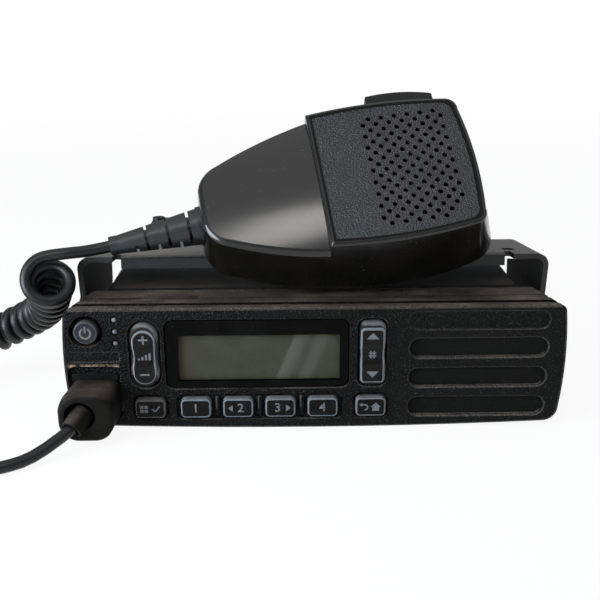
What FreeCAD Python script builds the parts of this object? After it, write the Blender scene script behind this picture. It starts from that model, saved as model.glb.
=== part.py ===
import FreeCAD, Part
import math
import os

# Mobile two-way radio with its hand microphone, in millimetres.
# X to the right, Y away from the user, Z up. The face of the control head is the plane y = 0.

V = FreeCAD.Vector

# Control head
head_width = 169.0
head_top = 43.7
head_base = 0.0
head_depth = 23.0
head_taper = 4.5
head_wall = 2.2
face_wall = 2.6
face_bevel = 0.8
top_corner = 2.6
low_corner = 5.2
side_bulge = 0.9
base_bow = 1.5
band_edges = ((3.4, 6.6, 1.0), (9.8, 13.0, 0.6))
gap = 0.3
fit = 0.05

# Control positions on the face
power_x = -76.2
power_z = 35.8
power_recess_r = 5.6
power_recess_depth = 3.2
power_cup_wall = 1.0
power_r = 3.95
power_proud = 1.0
lamp_x = -66.6
lamp_top_z = 39.9
lamp_pitch = 4.15
lamp_r = 0.85
rocker_z = 27.5
volume_x = -57.2
volume_width = 9.4
volume_height = 22.6
volume_corner = 4.65
volume_waist = 0.5
channel_x = 19.0
channel_width = 8.8
channel_height = 22.4
channel_corner = 2.3
channel_waist = 0.3
rocker_round = 1.15
rocker_proud = 1.6
rocker_hollow_r = 26.0
pinch_r = 30.0
well_margin = 0.9
well_height = 25.0
well_depth = 1.9
axle_r = 1.0
axle_y = 4.0
lug = 1.4
display_x = -19.6
display_width = 62.0
display_height = 25.0
display_z = 27.3
display_corner = 3.0
glass_x = -19.0
glass_width = 54.6
glass_height = 16.4
key_z = 8.3
key_height = 6.8
key_width = 10.2
key_corner = 1.6
first_key_x = -40.7
key_pitch = 14.35
menu_x = -56.1
back_x = 18.7
key_proud = 1.5
key_travel = 0.8
key_flange = 0.9
key_recess_depth = 1.0
key_row_height = 9.6
divider_width = 2.2
divider_height = 7.2
plate_x = 54.6
plate_z = 38.7
plate_width = 47.6
plate_height = 6.8
plate_depth = 0.4
badge_x = -74.2
badge_z = 26.8
badge_width = 17.4
badge_height = 4.0
slot_x = 54.8
slot_width = 47.4
slot_height = 7.7
slot_top_z = 28.9
slot_pitch = 10.65
slot_bevel = 0.7
cloth_y = 1.6
cloth = 0.4
cloth_low = 4.2
speaker_z = 19.9
speaker_r = 16.0
speaker_depth = 13.0

# Microphone jack on the face
jack_well_x = -74.6
jack_x = -71.8
jack_well_width = 17.6
jack_well_top = 23.5
jack_well_low = 3.9
jack_well_depth = 1.4
jack_z = 11.8
jack_width = 12.6
plug_half = 5.45
jack_height = 11.0
jack_depth = 13.5

# Body behind the head
body_width = 158.0
body_depth = 134.0
body_floor = 4.0
rear_wall = 14.0
lid = 1.5
shoulder_width = 7.0
shoulder_drop = 9.0
lid_rim = 6.5
fin_pitch = 6.4
fin_gap = 3.4
fin_depth = 3.0
side_fins = 4
rear_fin_pitch = 6.0
rear_fin_gap = 3.2
rear_fins = 12
first_rear_fin_x = -22.0

# Boards, posts and the rear connectors
board_y = 7.6
board = 1.6
board_left = -79.5
board_right = 28.5
board_low = 4.4
board_high = 39.8
boss_post_r = 1.6
main_board_z = 10.0
board_post_r = 3.0
lid_screw_y = 81.0
amplifier_x = 13.0
antenna_x = -64.0
antenna_r = 5.2
antenna_tip_r = 4.8
antenna_reach = 12.0
rear_z = 21.7
power_port_x = 64.0
accessory_x = -42.0

# Bracket and its screws
bracket_width = 166.0
bracket_sheet = 1.8
bracket_top = 50.4
bracket_bend = 4.5
lip_r = 1.4
bracket_lean_deg = 7.0
plate_back = 59.0
leg_front = 19.8
leg_rake = 4.0
leg_back = 74.0
leg_back_drop = 8.0
leg_low = 34.0
leg_foot = 12.0
flange_front = 23.1
flange_half = 68.0
flange_drop = 4.6
bracket_hole_x = 71.0
bracket_hole_y = 31.6
bracket_hole_r = 2.5
pivot_y = 59.0
pivot_z = 22.7
pivot_r = 3.0
boss_r = 7.0
knob_r = 7.5
knob_depth = 7.0
washer_r = 7.5
washer = 1.0

# Hand microphone, in its own frame: u along it, v across it, w out of its face
mic_tilt_deg = 48.0
mic_spin_deg = 8.7
mic_x = 10.0
mic_seam = 5.0
mic_thick = 30.0
mic_wall = 2.0
mic_back_round = 2.4
mic_rest = 0.35
mic_lift = 1.3
neck_u = -9.0
neck_step = 1.6
neck_fall = 6.6
neck_run = 41.0
neck_crown_r = 90.0
neck_round = 2.6
rim_round = 1.2
inlay_margin = 1.9
inlay = 0.9
hole_r = 0.85
hole_pitch = 4.5
hole_rows = 9
hole_columns = 7
hole_start_u = 9.6
hole_start_v = 20.0
ptt_start_u = 14.6
ptt_length = 24.0
ptt_low_w = 7.5
ptt_high_w = 19.4
ptt_out_v = 37.6
ptt_travel = 2.0
ptt_root_v = 22.1
stud_r = 5.0
stud_neck_r = 3.2
stud_height = 8.0
stud_u = 14.0

# Half outlines of the microphone at its seam and at its rim, as arcs of three points
seam_arcs = (((-50.0, 8.5), (-47.8, 14.0), (-42.6, 18.4)), ((-42.6, 18.4), (-24.0, 25.4), (-2.8, 29.4)),
             ((-2.8, 29.4), (20.0, 30.4), (43.0, 26.3)), ((43.0, 26.3), (48.3, 22.8), (50.3, 16.8)))
rim_arcs = (((-48.2, 6.0), (-46.4, 10.2), (-41.0, 13.8)), ((-41.0, 13.8), (-24.0, 20.8), (-9.0, 25.2)),
            ((-9.0, 25.2), (17.0, 26.5), (39.0, 24.7)), ((39.0, 24.7), (42.0, 23.2), (42.9, 19.9)))
seam_end_u = 51.8
seam_half_u = 50.0
seam_half_v = 29.0
rim_end_u = 44.4

# Cord
cord_d = 4.0
relief_u = -47.0
relief_v = -2.0
relief_w = 12.5
relief_droop_deg = 5.0
relief_length = 34.0
relief_big_r = 6.3
relief_small_r = 2.9
curl_r = 5.0
first_curl_r = 7.9
curl_pitch = 5.65
loosening = 3.0 * math.pi

# Axis of the curls: the loose first ring at the head's corner, down beside it and round on the floor
curl_axis = ((-88.6, 7.0, 52.2), (-90.0, 13.0, 48.5), (-91.8, 19.0, 43.2), (-94.3, 25.0, 38.3),
             (-97.2, 30.6, 34.2), (-101.4, 35.4, 30.4), (-107.0, 38.8, 26.8), (-113.4, 40.8, 23.4),
             (-121.0, 41.4, 19.6), (-130.4, 40.6, 15.8), (-140.6, 37.2, 12.4), (-149.8, 30.4, 9.8),
             (-156.8, 20.4, 8.2), (-161.0, 8.2, 7.5), (-162.2, -5.0, 7.5), (-161.2, -18.0, 7.5))
curl_entry = (-82.3, 11.7, 59.8)

# Route of the straight cord from the curls over the floor to the plug
floor_cord = ((-139.4, -20.6, 10.6), (-130.4, -26.0, 7.4), (-120.6, -31.2, 4.3),
              (-109.6, -32.8, 2.3), (-98.4, -30.6, 2.3), (-88.0, -23.4, 3.0))

# Plug and boot on the face
boot_length = 14.0
boot_x = -75.0
boot_z = 10.7
boot_root_width = 16.0
boot_root_height = 12.6
boot_mid_width = 20.0
boot_mid_height = 17.6
boot_end_width = 17.6
boot_end_height = 16.4
boot_round = 1.8
boot_mid_corner = 7.6
boot_end_corner = 6.2
boot_end_x = -75.5
boot_end_z = 10.8
boot_well_x = -77.2
boot_well_z = 11.6
boot_well_r = 5.1
boot_well_depth = 4.8
boot_chamfer = 9.2
stem_root = V(-76.6, -9.6, 11.2)
stem_root_r = 4.2
stem_tip_r = 3.5
stem_bore_depth = 3.0
stem_bore_play = 0.8
boot_tail = V(-79.8, -15.2, 7.6)

# Middle of the whole depth, from the front of the rockers to the tip of the antenna socket
middle_y = (body_depth + antenna_reach - max(rocker_proud, key_proud, power_proud)) / 2


def box(x0, x1, y0, y1, z0, z1):
    return Part.makeBox(x1 - x0, y1 - y0, z1 - z0, V(x0, y0, z0))


def rod(start, direction, r, length):
    return Part.makeCylinder(r, length, start, direction)


def rounded(x, z, width, height, r, y0, y1):
    """A rounded rectangle in the face's plane, drawn from y0 to y1."""
    w, h = width / 2, height / 2
    r = min(r, w - 0.01, h - 0.01)
    k = r * (1 - math.sqrt(0.5))
    edges = []
    corners = ((1, 1), (-1, 1), (-1, -1), (1, -1))
    for sx, sz in corners:
        cx, cz = x + sx * w, z + sz * h
        a, b = V(cx, y0, cz - sz * r), V(cx - sx * r, y0, cz)
        if sx * sz < 0:
            a, b = b, a
        edges.append(Part.Arc(a, V(cx - sx * k, y0, cz - sz * k), b).toShape())
    ring = []
    for n, edge in enumerate(edges):
        ring.append(edge)
        after = edges[(n + 1) % 4]
        ring.append(Part.LineSegment(edge.Vertexes[-1].Point, after.Vertexes[0].Point).toShape())
    return Part.Face(Part.Wire(ring)).extrude(V(0, y1 - y0, 0))


def bevelled(x, z, width, height, r, y0, y1, bevel):
    """A pocket cutter whose mouth at y0 is wider by the bevel."""
    narrow = rounded(x, z, width, height, r, y0 + bevel, y1)
    mouth = outline_face(x, z, width + 2 * bevel, height + 2 * bevel, r + bevel, y0 - 0.01)
    foot = outline_face(x, z, width, height, r, y0 + bevel)
    cone = Part.makeLoft([mouth.OuterWire, foot.OuterWire], True, True)
    return cone.fuse(narrow)


def outline_face(x, z, width, height, r, y):
    solid = rounded(x, z, width, height, r, y, y + 1)
    for face in solid.Faces:
        if abs(face.CenterOfMass.y - y) < 1e-6:
            return face


def export(name, *solids):
    """Writes one piece, moved so that the origin is under the middle of the radio."""
    moved = [solid.translated(V(0, -middle_y, 0)) for solid in solids]
    shape = moved[0] if len(moved) == 1 else Part.makeCompound(moved)
    shape.exportStep("parts/%s.step" % name)
    print(name, len(shape.Solids), "solids", round(shape.Volume, 2), "mm3", "valid", shape.isValid())


def head_outline(y, inset, taper=0.0):
    """The head's rounded outline at depth y, moved in all round by the inset."""
    half = head_width / 2 - inset - taper
    top, base = head_top - inset, head_base + inset
    rt = max(top_corner - inset * 0.5, 0.4)
    rb = max(low_corner - inset * 0.5, 0.6)
    kt, kb = rt * (1 - math.sqrt(0.5)), rb * (1 - math.sqrt(0.5))
    upper, lower = half - side_bulge, half - side_bulge - 0.3
    low = base + base_bow

    def side(s):
        a = V(s * (upper - rt), y, top)
        b = V(s * upper, y, top - rt)
        c = V(s * lower, y, low + rb)
        d = V(s * (lower - rb), y, low)
        return (
            Part.Arc(a, V(s * (upper - kt), y, top - kt), b).toShape(),
            Part.Arc(b, V(s * half, y, (top + base) * 0.55), c).toShape(),
            Part.Arc(c, V(s * (lower - kb), y, low + kb), d).toShape(),
            a, d,
        )

    r1, r2, r3, ra, rd = side(1)
    l1, l2, l3, la, ld = side(-1)
    bow = Part.Arc(rd, V(0, y, base), ld).toShape()
    roof = Part.LineSegment(la, ra).toShape()
    return Part.Wire([roof, r1, r2, r3, bow, l3, l2, l1])


def head_block():
    front = head_outline(0, face_bevel)
    rim = head_outline(face_bevel, 0)
    back = head_outline(head_depth, 0.8, head_taper - 0.8)
    return Part.makeLoft([front, rim, back], True, True)


def head_bands(block):
    """Two shallow grooves that leave a raised band round the top and sides."""
    for start, end, depth in band_edges:
        here = head_taper * start / head_depth
        ring = box(-head_width, head_width, start, end, 9.0, head_top + 5)
        core = Part.makeLoft(
            [head_outline(start - 1, depth, here), head_outline(end + 1, depth, here)], True, True
        )
        block = block.cut(ring.cut(core))
    return block


def key_places():
    row = [("key_%d" % (n + 1), first_key_x + n * key_pitch) for n in range(4)]
    return [("menu_button", menu_x)] + row + [("back_button", back_x)]


def slot_heights():
    return [slot_top_z - n * slot_pitch for n in range(3)]


def rocker_places():
    """Name, place, size, corner and waist of the two rockers."""
    return (
        ("volume_rocker", volume_x, volume_width, volume_height, volume_corner, volume_waist),
        ("channel_rocker", channel_x, channel_width, channel_height, channel_corner, channel_waist),
    )


def front_bezel():
    shell = head_bands(head_block())
    inner = Part.makeLoft(
        [
            head_outline(face_wall, head_wall),
            head_outline(head_depth + 1, head_wall + 0.8, head_taper - 0.8),
        ],
        True, True,
    )
    shell = shell.cut(inner)
    cup = rod(V(power_x, 1, power_z), V(0, 1, 0), power_recess_r + power_cup_wall, power_floor() - 1)
    shell = shell.fuse(cup.common(head_block()))
    cutters = [
        rod(V(power_x, -1, power_z), V(0, 1, 0), power_recess_r, 1 + power_recess_depth),
        rod(V(power_x, -1, power_z), V(0, 1, 0), power_r + gap, 9),
        rounded(plate_x, plate_z, plate_width, plate_height, plate_height / 2, -1, plate_depth),
        rounded(badge_x, badge_z, badge_width, badge_height, 0.9, -1, plate_depth),
        rounded(display_x, display_z, display_width, display_height, display_corner, -1, 1.9),
        rounded(display_x, display_z, display_width - 3, display_height - 3, 1.6, -1, 9),
    ]
    for n in range(3):
        z = lamp_top_z - n * lamp_pitch
        cutters.append(rod(V(lamp_x, -1, z), V(0, 1, 0), lamp_r + 0.5, 1.5))
        cutters.append(rod(V(lamp_x, -1, z), V(0, 1, 0), lamp_r, 9))
    for name, x, width, height, corner, waist in rocker_places():
        well = width + 2 * well_margin
        cutters.append(bevelled(x, rocker_z, well - 0.6, well_height - 0.6, corner + well_margin, 0,
                                well_depth, 0.3))
        cutters.append(rounded(x, rocker_z, width + 2 * gap, height + 4 * gap, corner + gap, -1, 9))
    row_x = first_key_x + 1.5 * key_pitch
    row_width = 3 * key_pitch + key_width + 3.4
    cutters.append(rounded(row_x, key_z, row_width, key_row_height, 2.6, -1, key_recess_depth))
    for name, x in key_places():
        if name in ("menu_button", "back_button"):
            cutters.append(rounded(x, key_z, key_width + 2, key_row_height, 2.6, -1, key_recess_depth))
        cutters.append(rounded(x, key_z, key_width + 2 * gap, key_height + 2 * gap, key_corner + gap, -1, 9))
    for z in slot_heights():
        cutters.append(bevelled(slot_x, z, slot_width - 2 * slot_bevel, slot_height - 2 * slot_bevel,
                                slot_height, 0, 9, slot_bevel))
    cutters.append(cloth_sheet(gap, cloth_y + 9))
    cutters.append(rounded(jack_well_x, (jack_well_top + jack_well_low) / 2, jack_well_width,
                           jack_well_top - jack_well_low, 2.6, -1, jack_well_depth))
    cutters.append(rounded(jack_x, jack_z, jack_width + 2 * gap, jack_height + 2 * gap, 0.6, -1, 9))
    for cutter in cutters:
        shell = shell.cut(cutter)
    for name, x, width, height, corner, waist in rocker_places():
        for side in (-1, 1):
            near = x + side * (width / 2 + gap)
            far = near + side * lug
            ear = box(min(near, far), max(near, far), face_wall - 0.2, axle_y + 2.0,
                      rocker_z - 2.2, rocker_z + 2.2)
            ear = ear.cut(rod(V(x - width, axle_y, rocker_z), V(1, 0, 0), axle_r + fit, 2 * width))
            shell = shell.fuse(ear)
    for n in range(3):
        shell = shell.fuse(key_divider(first_key_x + (n + 0.5) * key_pitch))
    for x, z in boss_places():
        post = rod(V(x, face_wall - 0.2, z), V(0, 1, 0), boss_post_r, board_y - face_wall + 0.2)
        shell = shell.fuse(post)
    return shell.removeSplitter()


def key_divider(x):
    """Upright ridge between two keys, rounded at its front."""
    ridge = rounded(x, key_z, divider_width, divider_height, 0.9, 0, key_recess_depth + 0.5)
    front = [e for e in ridge.Edges if abs(e.CenterOfMass.y) < 0.01]
    return ridge.makeFillet(0.8, front)


def power_floor():
    """Back of the cup that the power button stands in."""
    return power_recess_depth + power_cup_wall


def boss_places():
    """Posts inside the face that the control board is screwed to."""
    return ((-64.0, 20.4), (27.0, 37.6), (27.0, 15.0), (-66.4, 25.2))


def push_key(x, width, height, corner):
    cap = rounded(x, key_z, width, height, corner, -key_proud, face_wall + gap)
    front = [e for e in cap.Edges if abs(e.CenterOfMass.y + key_proud) < 0.01]
    cap = cap.makeFillet(0.5, front)
    flange = rounded(x, key_z, width + 2 * key_flange, height + 2 * key_flange, corner,
                     face_wall + gap, face_wall + gap + 0.9)
    return cap.fuse(flange)


def power_button():
    seat = power_floor() + gap
    cap = rod(V(power_x, -power_proud, power_z), V(0, 1, 0), power_r, power_proud + seat)
    front = [e for e in cap.Edges if abs(e.CenterOfMass.y + power_proud) < 0.01]
    cap = cap.makeFillet(0.6, front)
    flange = rod(V(power_x, seat, power_z), V(0, 1, 0), power_r + 0.6, key_flange)
    return cap.fuse(flange)


def rocker(x, width, height, corner, waist):
    """A paddle with a hollowed middle, carried on two stub axles."""
    body = rounded(x, rocker_z, width, height, corner, -rocker_proud, axle_y - 0.2)
    front = [e for e in body.Edges if abs(e.CenterOfMass.y + rocker_proud) < 0.01]
    body = body.makeFillet(rocker_round, front)
    hollow = rod(V(x - width, -rocker_hollow_r - 0.7, rocker_z), V(1, 0, 0), rocker_hollow_r, 2 * width)
    body = body.cut(hollow)
    for side in (-1, 1):
        at = V(x + side * (width / 2 + pinch_r - waist), -2, rocker_z)
        body = body.cut(rod(at, V(0, 1, 0), pinch_r, 3.2))
    block = box(x - width / 2 + 0.6, x + width / 2 - 0.6, axle_y - 0.4, axle_y + 1.2,
                rocker_z - 1.8, rocker_z + 1.8)
    axle = rod(V(x - width / 2 - gap - lug + 0.1, axle_y, rocker_z), V(1, 0, 0), axle_r,
               width + 2 * (gap + lug - 0.1))
    return body.fuse(block).fuse(axle)


def display_lens():
    lens = rounded(display_x, display_z, display_width - 2 * gap, display_height - 2 * gap,
                   display_corner - gap, 0.5, 1.85)
    front = [e for e in lens.Edges if abs(e.CenterOfMass.y - 0.5) < 0.01]
    return lens.makeFillet(0.4, front)


def lcd_panel():
    return box(glass_x - glass_width / 2 - 1, glass_x + glass_width / 2 + 1, 2.2, 4.0,
               display_z - glass_height / 2 - 1.6, display_z + glass_height / 2 + 1.6)


def backlight_frame():
    x, z = glass_x, display_z
    half_w, half_h = glass_width / 2 + 2.0, glass_height / 2 + 2.4
    tray = box(x - half_w, x + half_w, 2.9, board_y, z - half_h, z + half_h)
    pocket = box(x - half_w + 0.9, x + half_w - 0.9, 0, 4.1, z - half_h + 0.7, z + half_h - 0.7)
    return tray.cut(pocket)


def keypad_membrane():
    """Rubber mat with a raised pad behind every key, cut out round the display."""
    back = board_y
    mat = box(-63.2, 25.8, back - 0.9, back, 3.8, 12.0)
    pads = []
    for name, x in key_places():
        pads.append(rounded(x, key_z, key_width - 2, key_height - 1.5, 1.0,
                            face_wall + gap + 0.9 + key_travel + 0.1, back))
    for name, x, width, height, corner, waist in rocker_places():
        mat = mat.fuse(box(x - 3.4, x + 3.4, back - 0.9, back, 11.5, rocker_z + 9.5))
        for side in (-1, 1):
            pads.append(rod(V(x, axle_y + 0.45, rocker_z + side * 7.8), V(0, 1, 0), 1.8,
                            back - axle_y - 0.45))
    mat = mat.fuse(box(board_left, volume_x, back - 0.9, back, power_z - 2.6, power_z + 2.4))
    under = power_floor() + gap + key_flange + key_travel + 0.1
    pads.append(rod(V(power_x, under, power_z), V(0, 1, 0), 2.6, back - under))
    for pad in pads:
        mat = mat.fuse(pad)
    for x, z in boss_places():
        mat = mat.cut(rod(V(x, 0, z), V(0, 1, 0), boss_post_r + gap, 20))
    for n in range(3):
        mat = mat.cut(rod(V(lamp_x, 0, lamp_top_z - n * lamp_pitch), V(0, 1, 0), lamp_r + gap, 20))
    return mat.removeSplitter()


def control_board():
    plate = box(board_left, board_right, board_y, board_y + board, board_low, board_high)
    right = jack_x + jack_width / 2 + gap
    return plate.cut(box(board_left - 1, right, 0, 20, 0, jack_z + jack_height / 2 + gap))


def mic_jack():
    """Square socket open to the front, with its latch notch on top."""
    y0, y1 = jack_well_depth + 0.4, jack_depth
    body = box(jack_x - jack_width / 2, jack_x + jack_width / 2, y0, y1,
               jack_z - jack_height / 2, jack_z + jack_height / 2)
    half = plug_half + gap / 2
    cavity = box(jack_x - half, jack_x + half, y0 - 1, y1 - 1.0, jack_z - 4.6, jack_z + 2.6)
    notch = box(jack_x - 3.2, jack_x + 3.2, y0 - 1, y1 - 3.0, jack_z + 2.5, jack_z + 4.6)
    return body.cut(cavity).cut(notch)


def cloth_sheet(grow, y1):
    """A sheet behind the three slots, let into the back of the face."""
    half = slot_width / 2 + 0.2 + grow
    low = slot_heights()[-1] - slot_height / 2 - 0.5 - grow
    high = slot_heights()[0] + slot_height / 2 + 0.5 + grow
    return box(slot_x - half, slot_x + half, cloth_y, y1, max(low, head_base + cloth_low - grow), high)


def speaker_cloth():
    return cloth_sheet(0, cloth_y + cloth)


def speaker():
    """Shallow loudspeaker: rim, cone, basket and magnet turned round one axis."""
    y = face_wall + gap
    r = speaker_r
    points = [(0, y + 5.6), (4.0, y + 4.2), (r - 3.0, y + 1.0), (r - 3.0, y), (r, y), (r, y + 1.6),
              (r - 2.0, y + 2.6), (8.6, y + 7.2), (8.6, y + speaker_depth), (0, y + speaker_depth)]
    wire = Part.makePolygon([V(slot_x + a, b, speaker_z) for a, b in points + [points[0]]])
    return Part.Face(wire).revolve(V(slot_x, 0, speaker_z), V(0, 1, 0), 360)


def status_lenses():
    lenses = []
    for n in range(3):
        z = lamp_top_z - n * lamp_pitch
        stem = rod(V(lamp_x, 0.5, z), V(0, 1, 0), lamp_r - 0.02, board_y - 0.5)
        dome = Part.makeSphere(lamp_r - 0.02, V(lamp_x, 0.5, z))
        lenses.append(stem.fuse(dome).removeSplitter())
    return lenses


def body_profile(y):
    """Cross-section of the die-cast body: flat base, straight sides, sloping shoulders."""
    w = body_width / 2
    top = head_top - lid
    edge = 1.5
    points = [(-w + edge, 0), (w - edge, 0), (w, edge), (w, top - shoulder_drop), (w - shoulder_width, top),
              (-w + shoulder_width, top), (-w, top - shoulder_drop), (-w, edge)]
    return Part.makePolygon([V(a, y, b) for a, b in points + [points[0]]])


def chassis():
    start, end = head_depth, body_depth
    tub = Part.Face(body_profile(start)).extrude(V(0, end - start, 0))
    top = head_top - lid
    inner_half = body_width / 2 - shoulder_width - lid_rim
    tub = tub.cut(box(-inner_half, inner_half, start + 4, end - rear_wall, body_floor, top + 1))
    tub = tub.cut(box(-30, 10, start - 1, start + 5, 12, 30))
    keep = rod(V(-100, pivot_y, pivot_z), V(1, 0, 0), boss_r + 1.0, 200)
    for side in (-1, 1):
        edge = side * body_width / 2
        for n in range(side_fins):
            z = 5.5 + n * fin_pitch
            near, far = sorted((edge, edge - side * fin_depth))
            groove = box(near, far, start + 4, end + 1, z, z + fin_gap)
            tub = tub.cut(groove.cut(keep))
        boss_end = bracket_width / 2 - bracket_sheet - gap
        boss = rod(V(edge - side * 4, pivot_y, pivot_z), V(side, 0, 0), boss_r, boss_end - body_width / 2 + 4)
        tub = tub.fuse(boss)
        tub = tub.cut(rod(V(edge - side * 5.5, pivot_y, pivot_z), V(side, 0, 0), pivot_r + fit, 20))
    for n in range(rear_fins):
        x = first_rear_fin_x + n * rear_fin_pitch
        groove = box(x - rear_fin_gap / 2, x + rear_fin_gap / 2, end - 9, end + 1, body_floor, top + 1)
        tub = tub.cut(groove)
    tub = tub.cut(rod(V(antenna_x, end - 20, rear_z), V(0, 1, 0), antenna_r + 0.02, 30))
    for x, half, pins in rear_ports():
        half += gap
        tub = tub.cut(box(x - half, x + half, end - 20, end + 1, rear_z - 5 - gap, rear_z + 5 + gap))
    for x, y in board_posts():
        tub = tub.fuse(rod(V(x, y, body_floor - 1), V(0, 0, 1), board_post_r, main_board_z - body_floor + 1))
    for x, y in lid_screw_places():
        tub = tub.cut(rod(V(x, y, top - 7), V(0, 0, 1), 1.5, 10))
    return tub.removeSplitter()


def rear_ports():
    """Power inlet and accessory socket: place across, half width and number of blades."""
    return ((power_port_x, 8.0, 2), (accessory_x, 14.0, 6))


def lid_screw_places():
    x = body_width / 2 - shoulder_width - lid_rim / 2
    return [(sx * x, y) for sx in (-1, 1) for y in (lid_screw_y, body_depth - 6.0)]


def cover_gasket():
    half = body_width / 2 - shoulder_width - lid_rim
    y0, y1 = head_depth + 4, body_depth - rear_wall
    top = head_top - lid
    outer = box(-half + 0.05, half - 0.05, y0 + 0.05, y1 - 0.05, top - 1.4, top)
    return outer.cut(box(-half + 1.6, half - 1.6, y0 + 1.6, y1 - 1.6, 0, 99))


def top_cover():
    half = body_width / 2 - shoulder_width
    top = head_top - lid
    plate = box(-half, half, head_depth, body_depth, top, head_top)
    upper = [e for e in plate.Edges if abs(e.CenterOfMass.z - head_top) < 0.01]
    plate = plate.makeChamfer(0.6, [e for e in upper if e.CenterOfMass.y > head_depth + 0.1])
    for x, y in lid_screw_places():
        plate = plate.cut(rod(V(x, y, top - 1), V(0, 0, 1), 1.7, 5))
    return plate


def cover_screws():
    screws = []
    for x, y in lid_screw_places():
        shank = rod(V(x, y, head_top - 7.5), V(0, 0, 1), 1.45, 7.6)
        head = rod(V(x, y, head_top), V(0, 0, 1), 2.8, 1.4)
        cross = box(x - 1.6, x + 1.6, y - 0.3, y + 0.3, head_top + 0.6, head_top + 3)
        turned = box(x - 0.3, x + 0.3, y - 1.6, y + 1.6, head_top + 0.6, head_top + 3)
        screws.append(shank.fuse(head).cut(cross).cut(turned))
    return screws


def main_board():
    half = body_width / 2 - shoulder_width - lid_rim - 0.7
    y0, y1 = head_depth + 5, body_depth - 15
    plate = box(-half, half, y0, y1, main_board_z, main_board_z + board)
    return plate.cut(box(amplifier_x - 1, amplifier_x + 43, y1 - 34, y1 + 1, 0, 99))


def board_posts():
    half = body_width / 2 - shoulder_width - lid_rim - 3.6
    return [(sx * half, y) for sx in (-1, 1) for y in (head_depth + 9.0, body_depth - 19.0)]


def rf_shield():
    x0, x1, y0, y1 = -58.0, 10.0, 48.0, 98.0
    low = main_board_z + board
    can = box(x0, x1, y0, y1, low, low + 9)
    return can.cut(box(x0 + 0.6, x1 - 0.6, y0 + 0.6, y1 - 0.6, low - 1, low + 8.4))


def power_amplifier():
    y1 = body_depth - 15
    x = amplifier_x
    base = box(x, x + 42, y1 - 33, y1 - 3, body_floor, body_floor + 3.2)
    cap = box(x + 3, x + 39, y1 - 30, y1 - 6, body_floor + 3.2, body_floor + 11)
    return base.fuse(cap)


def antenna_connector():
    y = body_depth
    ahead = V(0, 1, 0)
    barrel = rod(V(antenna_x, y - 13.5, rear_z), ahead, antenna_r, 14.5)
    nose = rod(V(antenna_x, y + 0.02, rear_z), ahead, 6.6, 2.98)
    tip = rod(V(antenna_x, y + 3.0, rear_z), ahead, antenna_tip_r, antenna_reach - 3.0)
    bore = rod(V(antenna_x, y + 4.0, rear_z), ahead, 3.6, 10)
    pin = rod(V(antenna_x, y + 3.5, rear_z), ahead, 1.2, 7.0)
    return barrel.fuse(nose).fuse(tip).cut(bore).fuse(pin)


def rear_socket(x, half_width, pins):
    """A shrouded socket let into the rear wall, with its contact blades."""
    y0, y1 = body_depth - 13.0, body_depth - 0.4
    shell = box(x - half_width, x + half_width, y0, y1, rear_z - 5.0, rear_z + 5.0)
    shell = shell.cut(box(x - half_width + 1, x + half_width - 1, y0 + 2, y1 + 1, rear_z - 4, rear_z + 4))
    for n in range(pins):
        at = x + (n - (pins - 1) / 2) * (2 * half_width - 5.0) / max(pins - 1, 1)
        shell = shell.fuse(box(at - 0.6, at + 0.6, y0 + 1.5, y1 - 3.0, rear_z - 1.6, rear_z + 1.6))
    return shell


def bracket_plate():
    """The top of the bracket, level, with a notch beside each end of its front flange."""
    half = bracket_width / 2
    notch = flange_half + 2.4
    root = flange_front + 3
    right = [(half, plate_back), (half, leg_front), (notch, leg_front), (notch, root),
             (flange_half, root), (flange_half, flange_front)]
    points = right + [(-a, b) for a, b in reversed(right)]
    outline = Part.makePolygon([V(a, b, bracket_top - bracket_sheet) for a, b in points + [points[0]]])
    return Part.Face(outline).extrude(V(0, 0, bracket_sheet))


def bracket_leg(side):
    """A side leg in its own plane, deeper than the plate and rounded at the foot round the pivot."""
    outer = side * bracket_width / 2
    inner = outer - side * bracket_sheet
    x0, x1 = min(outer, inner), max(outer, inner)
    foot_r = pivot_z - leg_foot
    step = bracket_top - leg_back_drop
    points = [(leg_front, bracket_top), (leg_front + leg_rake, leg_low), (pivot_y - foot_r, pivot_z),
              (min(pivot_y + foot_r, leg_back), pivot_z), (leg_back, leg_low), (leg_back, step - 2),
              (plate_back, step), (plate_back, bracket_top)]
    sheet = Part.Face(Part.makePolygon([V(x0, a, b) for a, b in points + [points[0]]]))
    foot = rod(V(x0, pivot_y, pivot_z), V(1, 0, 0), foot_r, x1 - x0)
    hole = rod(V(x0 - 1, pivot_y, pivot_z), V(1, 0, 0), pivot_r + fit, x1 - x0 + 2)
    return sheet.extrude(V(x1 - x0, 0, 0)).fuse(foot).cut(hole)


def mounting_bracket():
    flange = box(-flange_half, flange_half, flange_front, flange_front + bracket_sheet,
                 bracket_top - flange_drop, bracket_top)
    shape = bracket_plate().fuse(flange).fuse(bracket_leg(-1)).fuse(bracket_leg(1)).removeSplitter()
    half = bracket_width / 2
    bends, inner_bends, lip = [], [], []
    for e in shape.Edges:
        m = e.CenterOfMass
        if abs(abs(m.x) - half) < 0.02 and abs(m.z - bracket_top) < 0.02:
            bends.append(e)
        elif abs(abs(m.x) - half + bracket_sheet) < 0.02 and abs(m.z - bracket_top + bracket_sheet) < 0.02:
            inner_bends.append(e)
        elif abs(m.y - flange_front) < 0.02 and abs(m.z - bracket_top) < 0.02 and abs(m.x) < flange_half:
            lip.append(e)
    shape = shape.makeFillet(bracket_bend, bends)
    for r, old in ((bracket_bend - bracket_sheet, inner_bends), (lip_r, lip)):
        for edge in old:
            same = [e for e in shape.Edges if e.CenterOfMass.distanceToPoint(edge.CenterOfMass) < 0.05]
            shape = shape.makeFillet(r, same)
    for side in (-1, 1):
        shape = shape.cut(rod(V(side * bracket_hole_x, bracket_hole_y, 0), V(0, 0, 1), bracket_hole_r, 99))
    shape.rotate(V(0, pivot_y, pivot_z), V(1, 0, 0), -bracket_lean_deg)
    return shape


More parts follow.
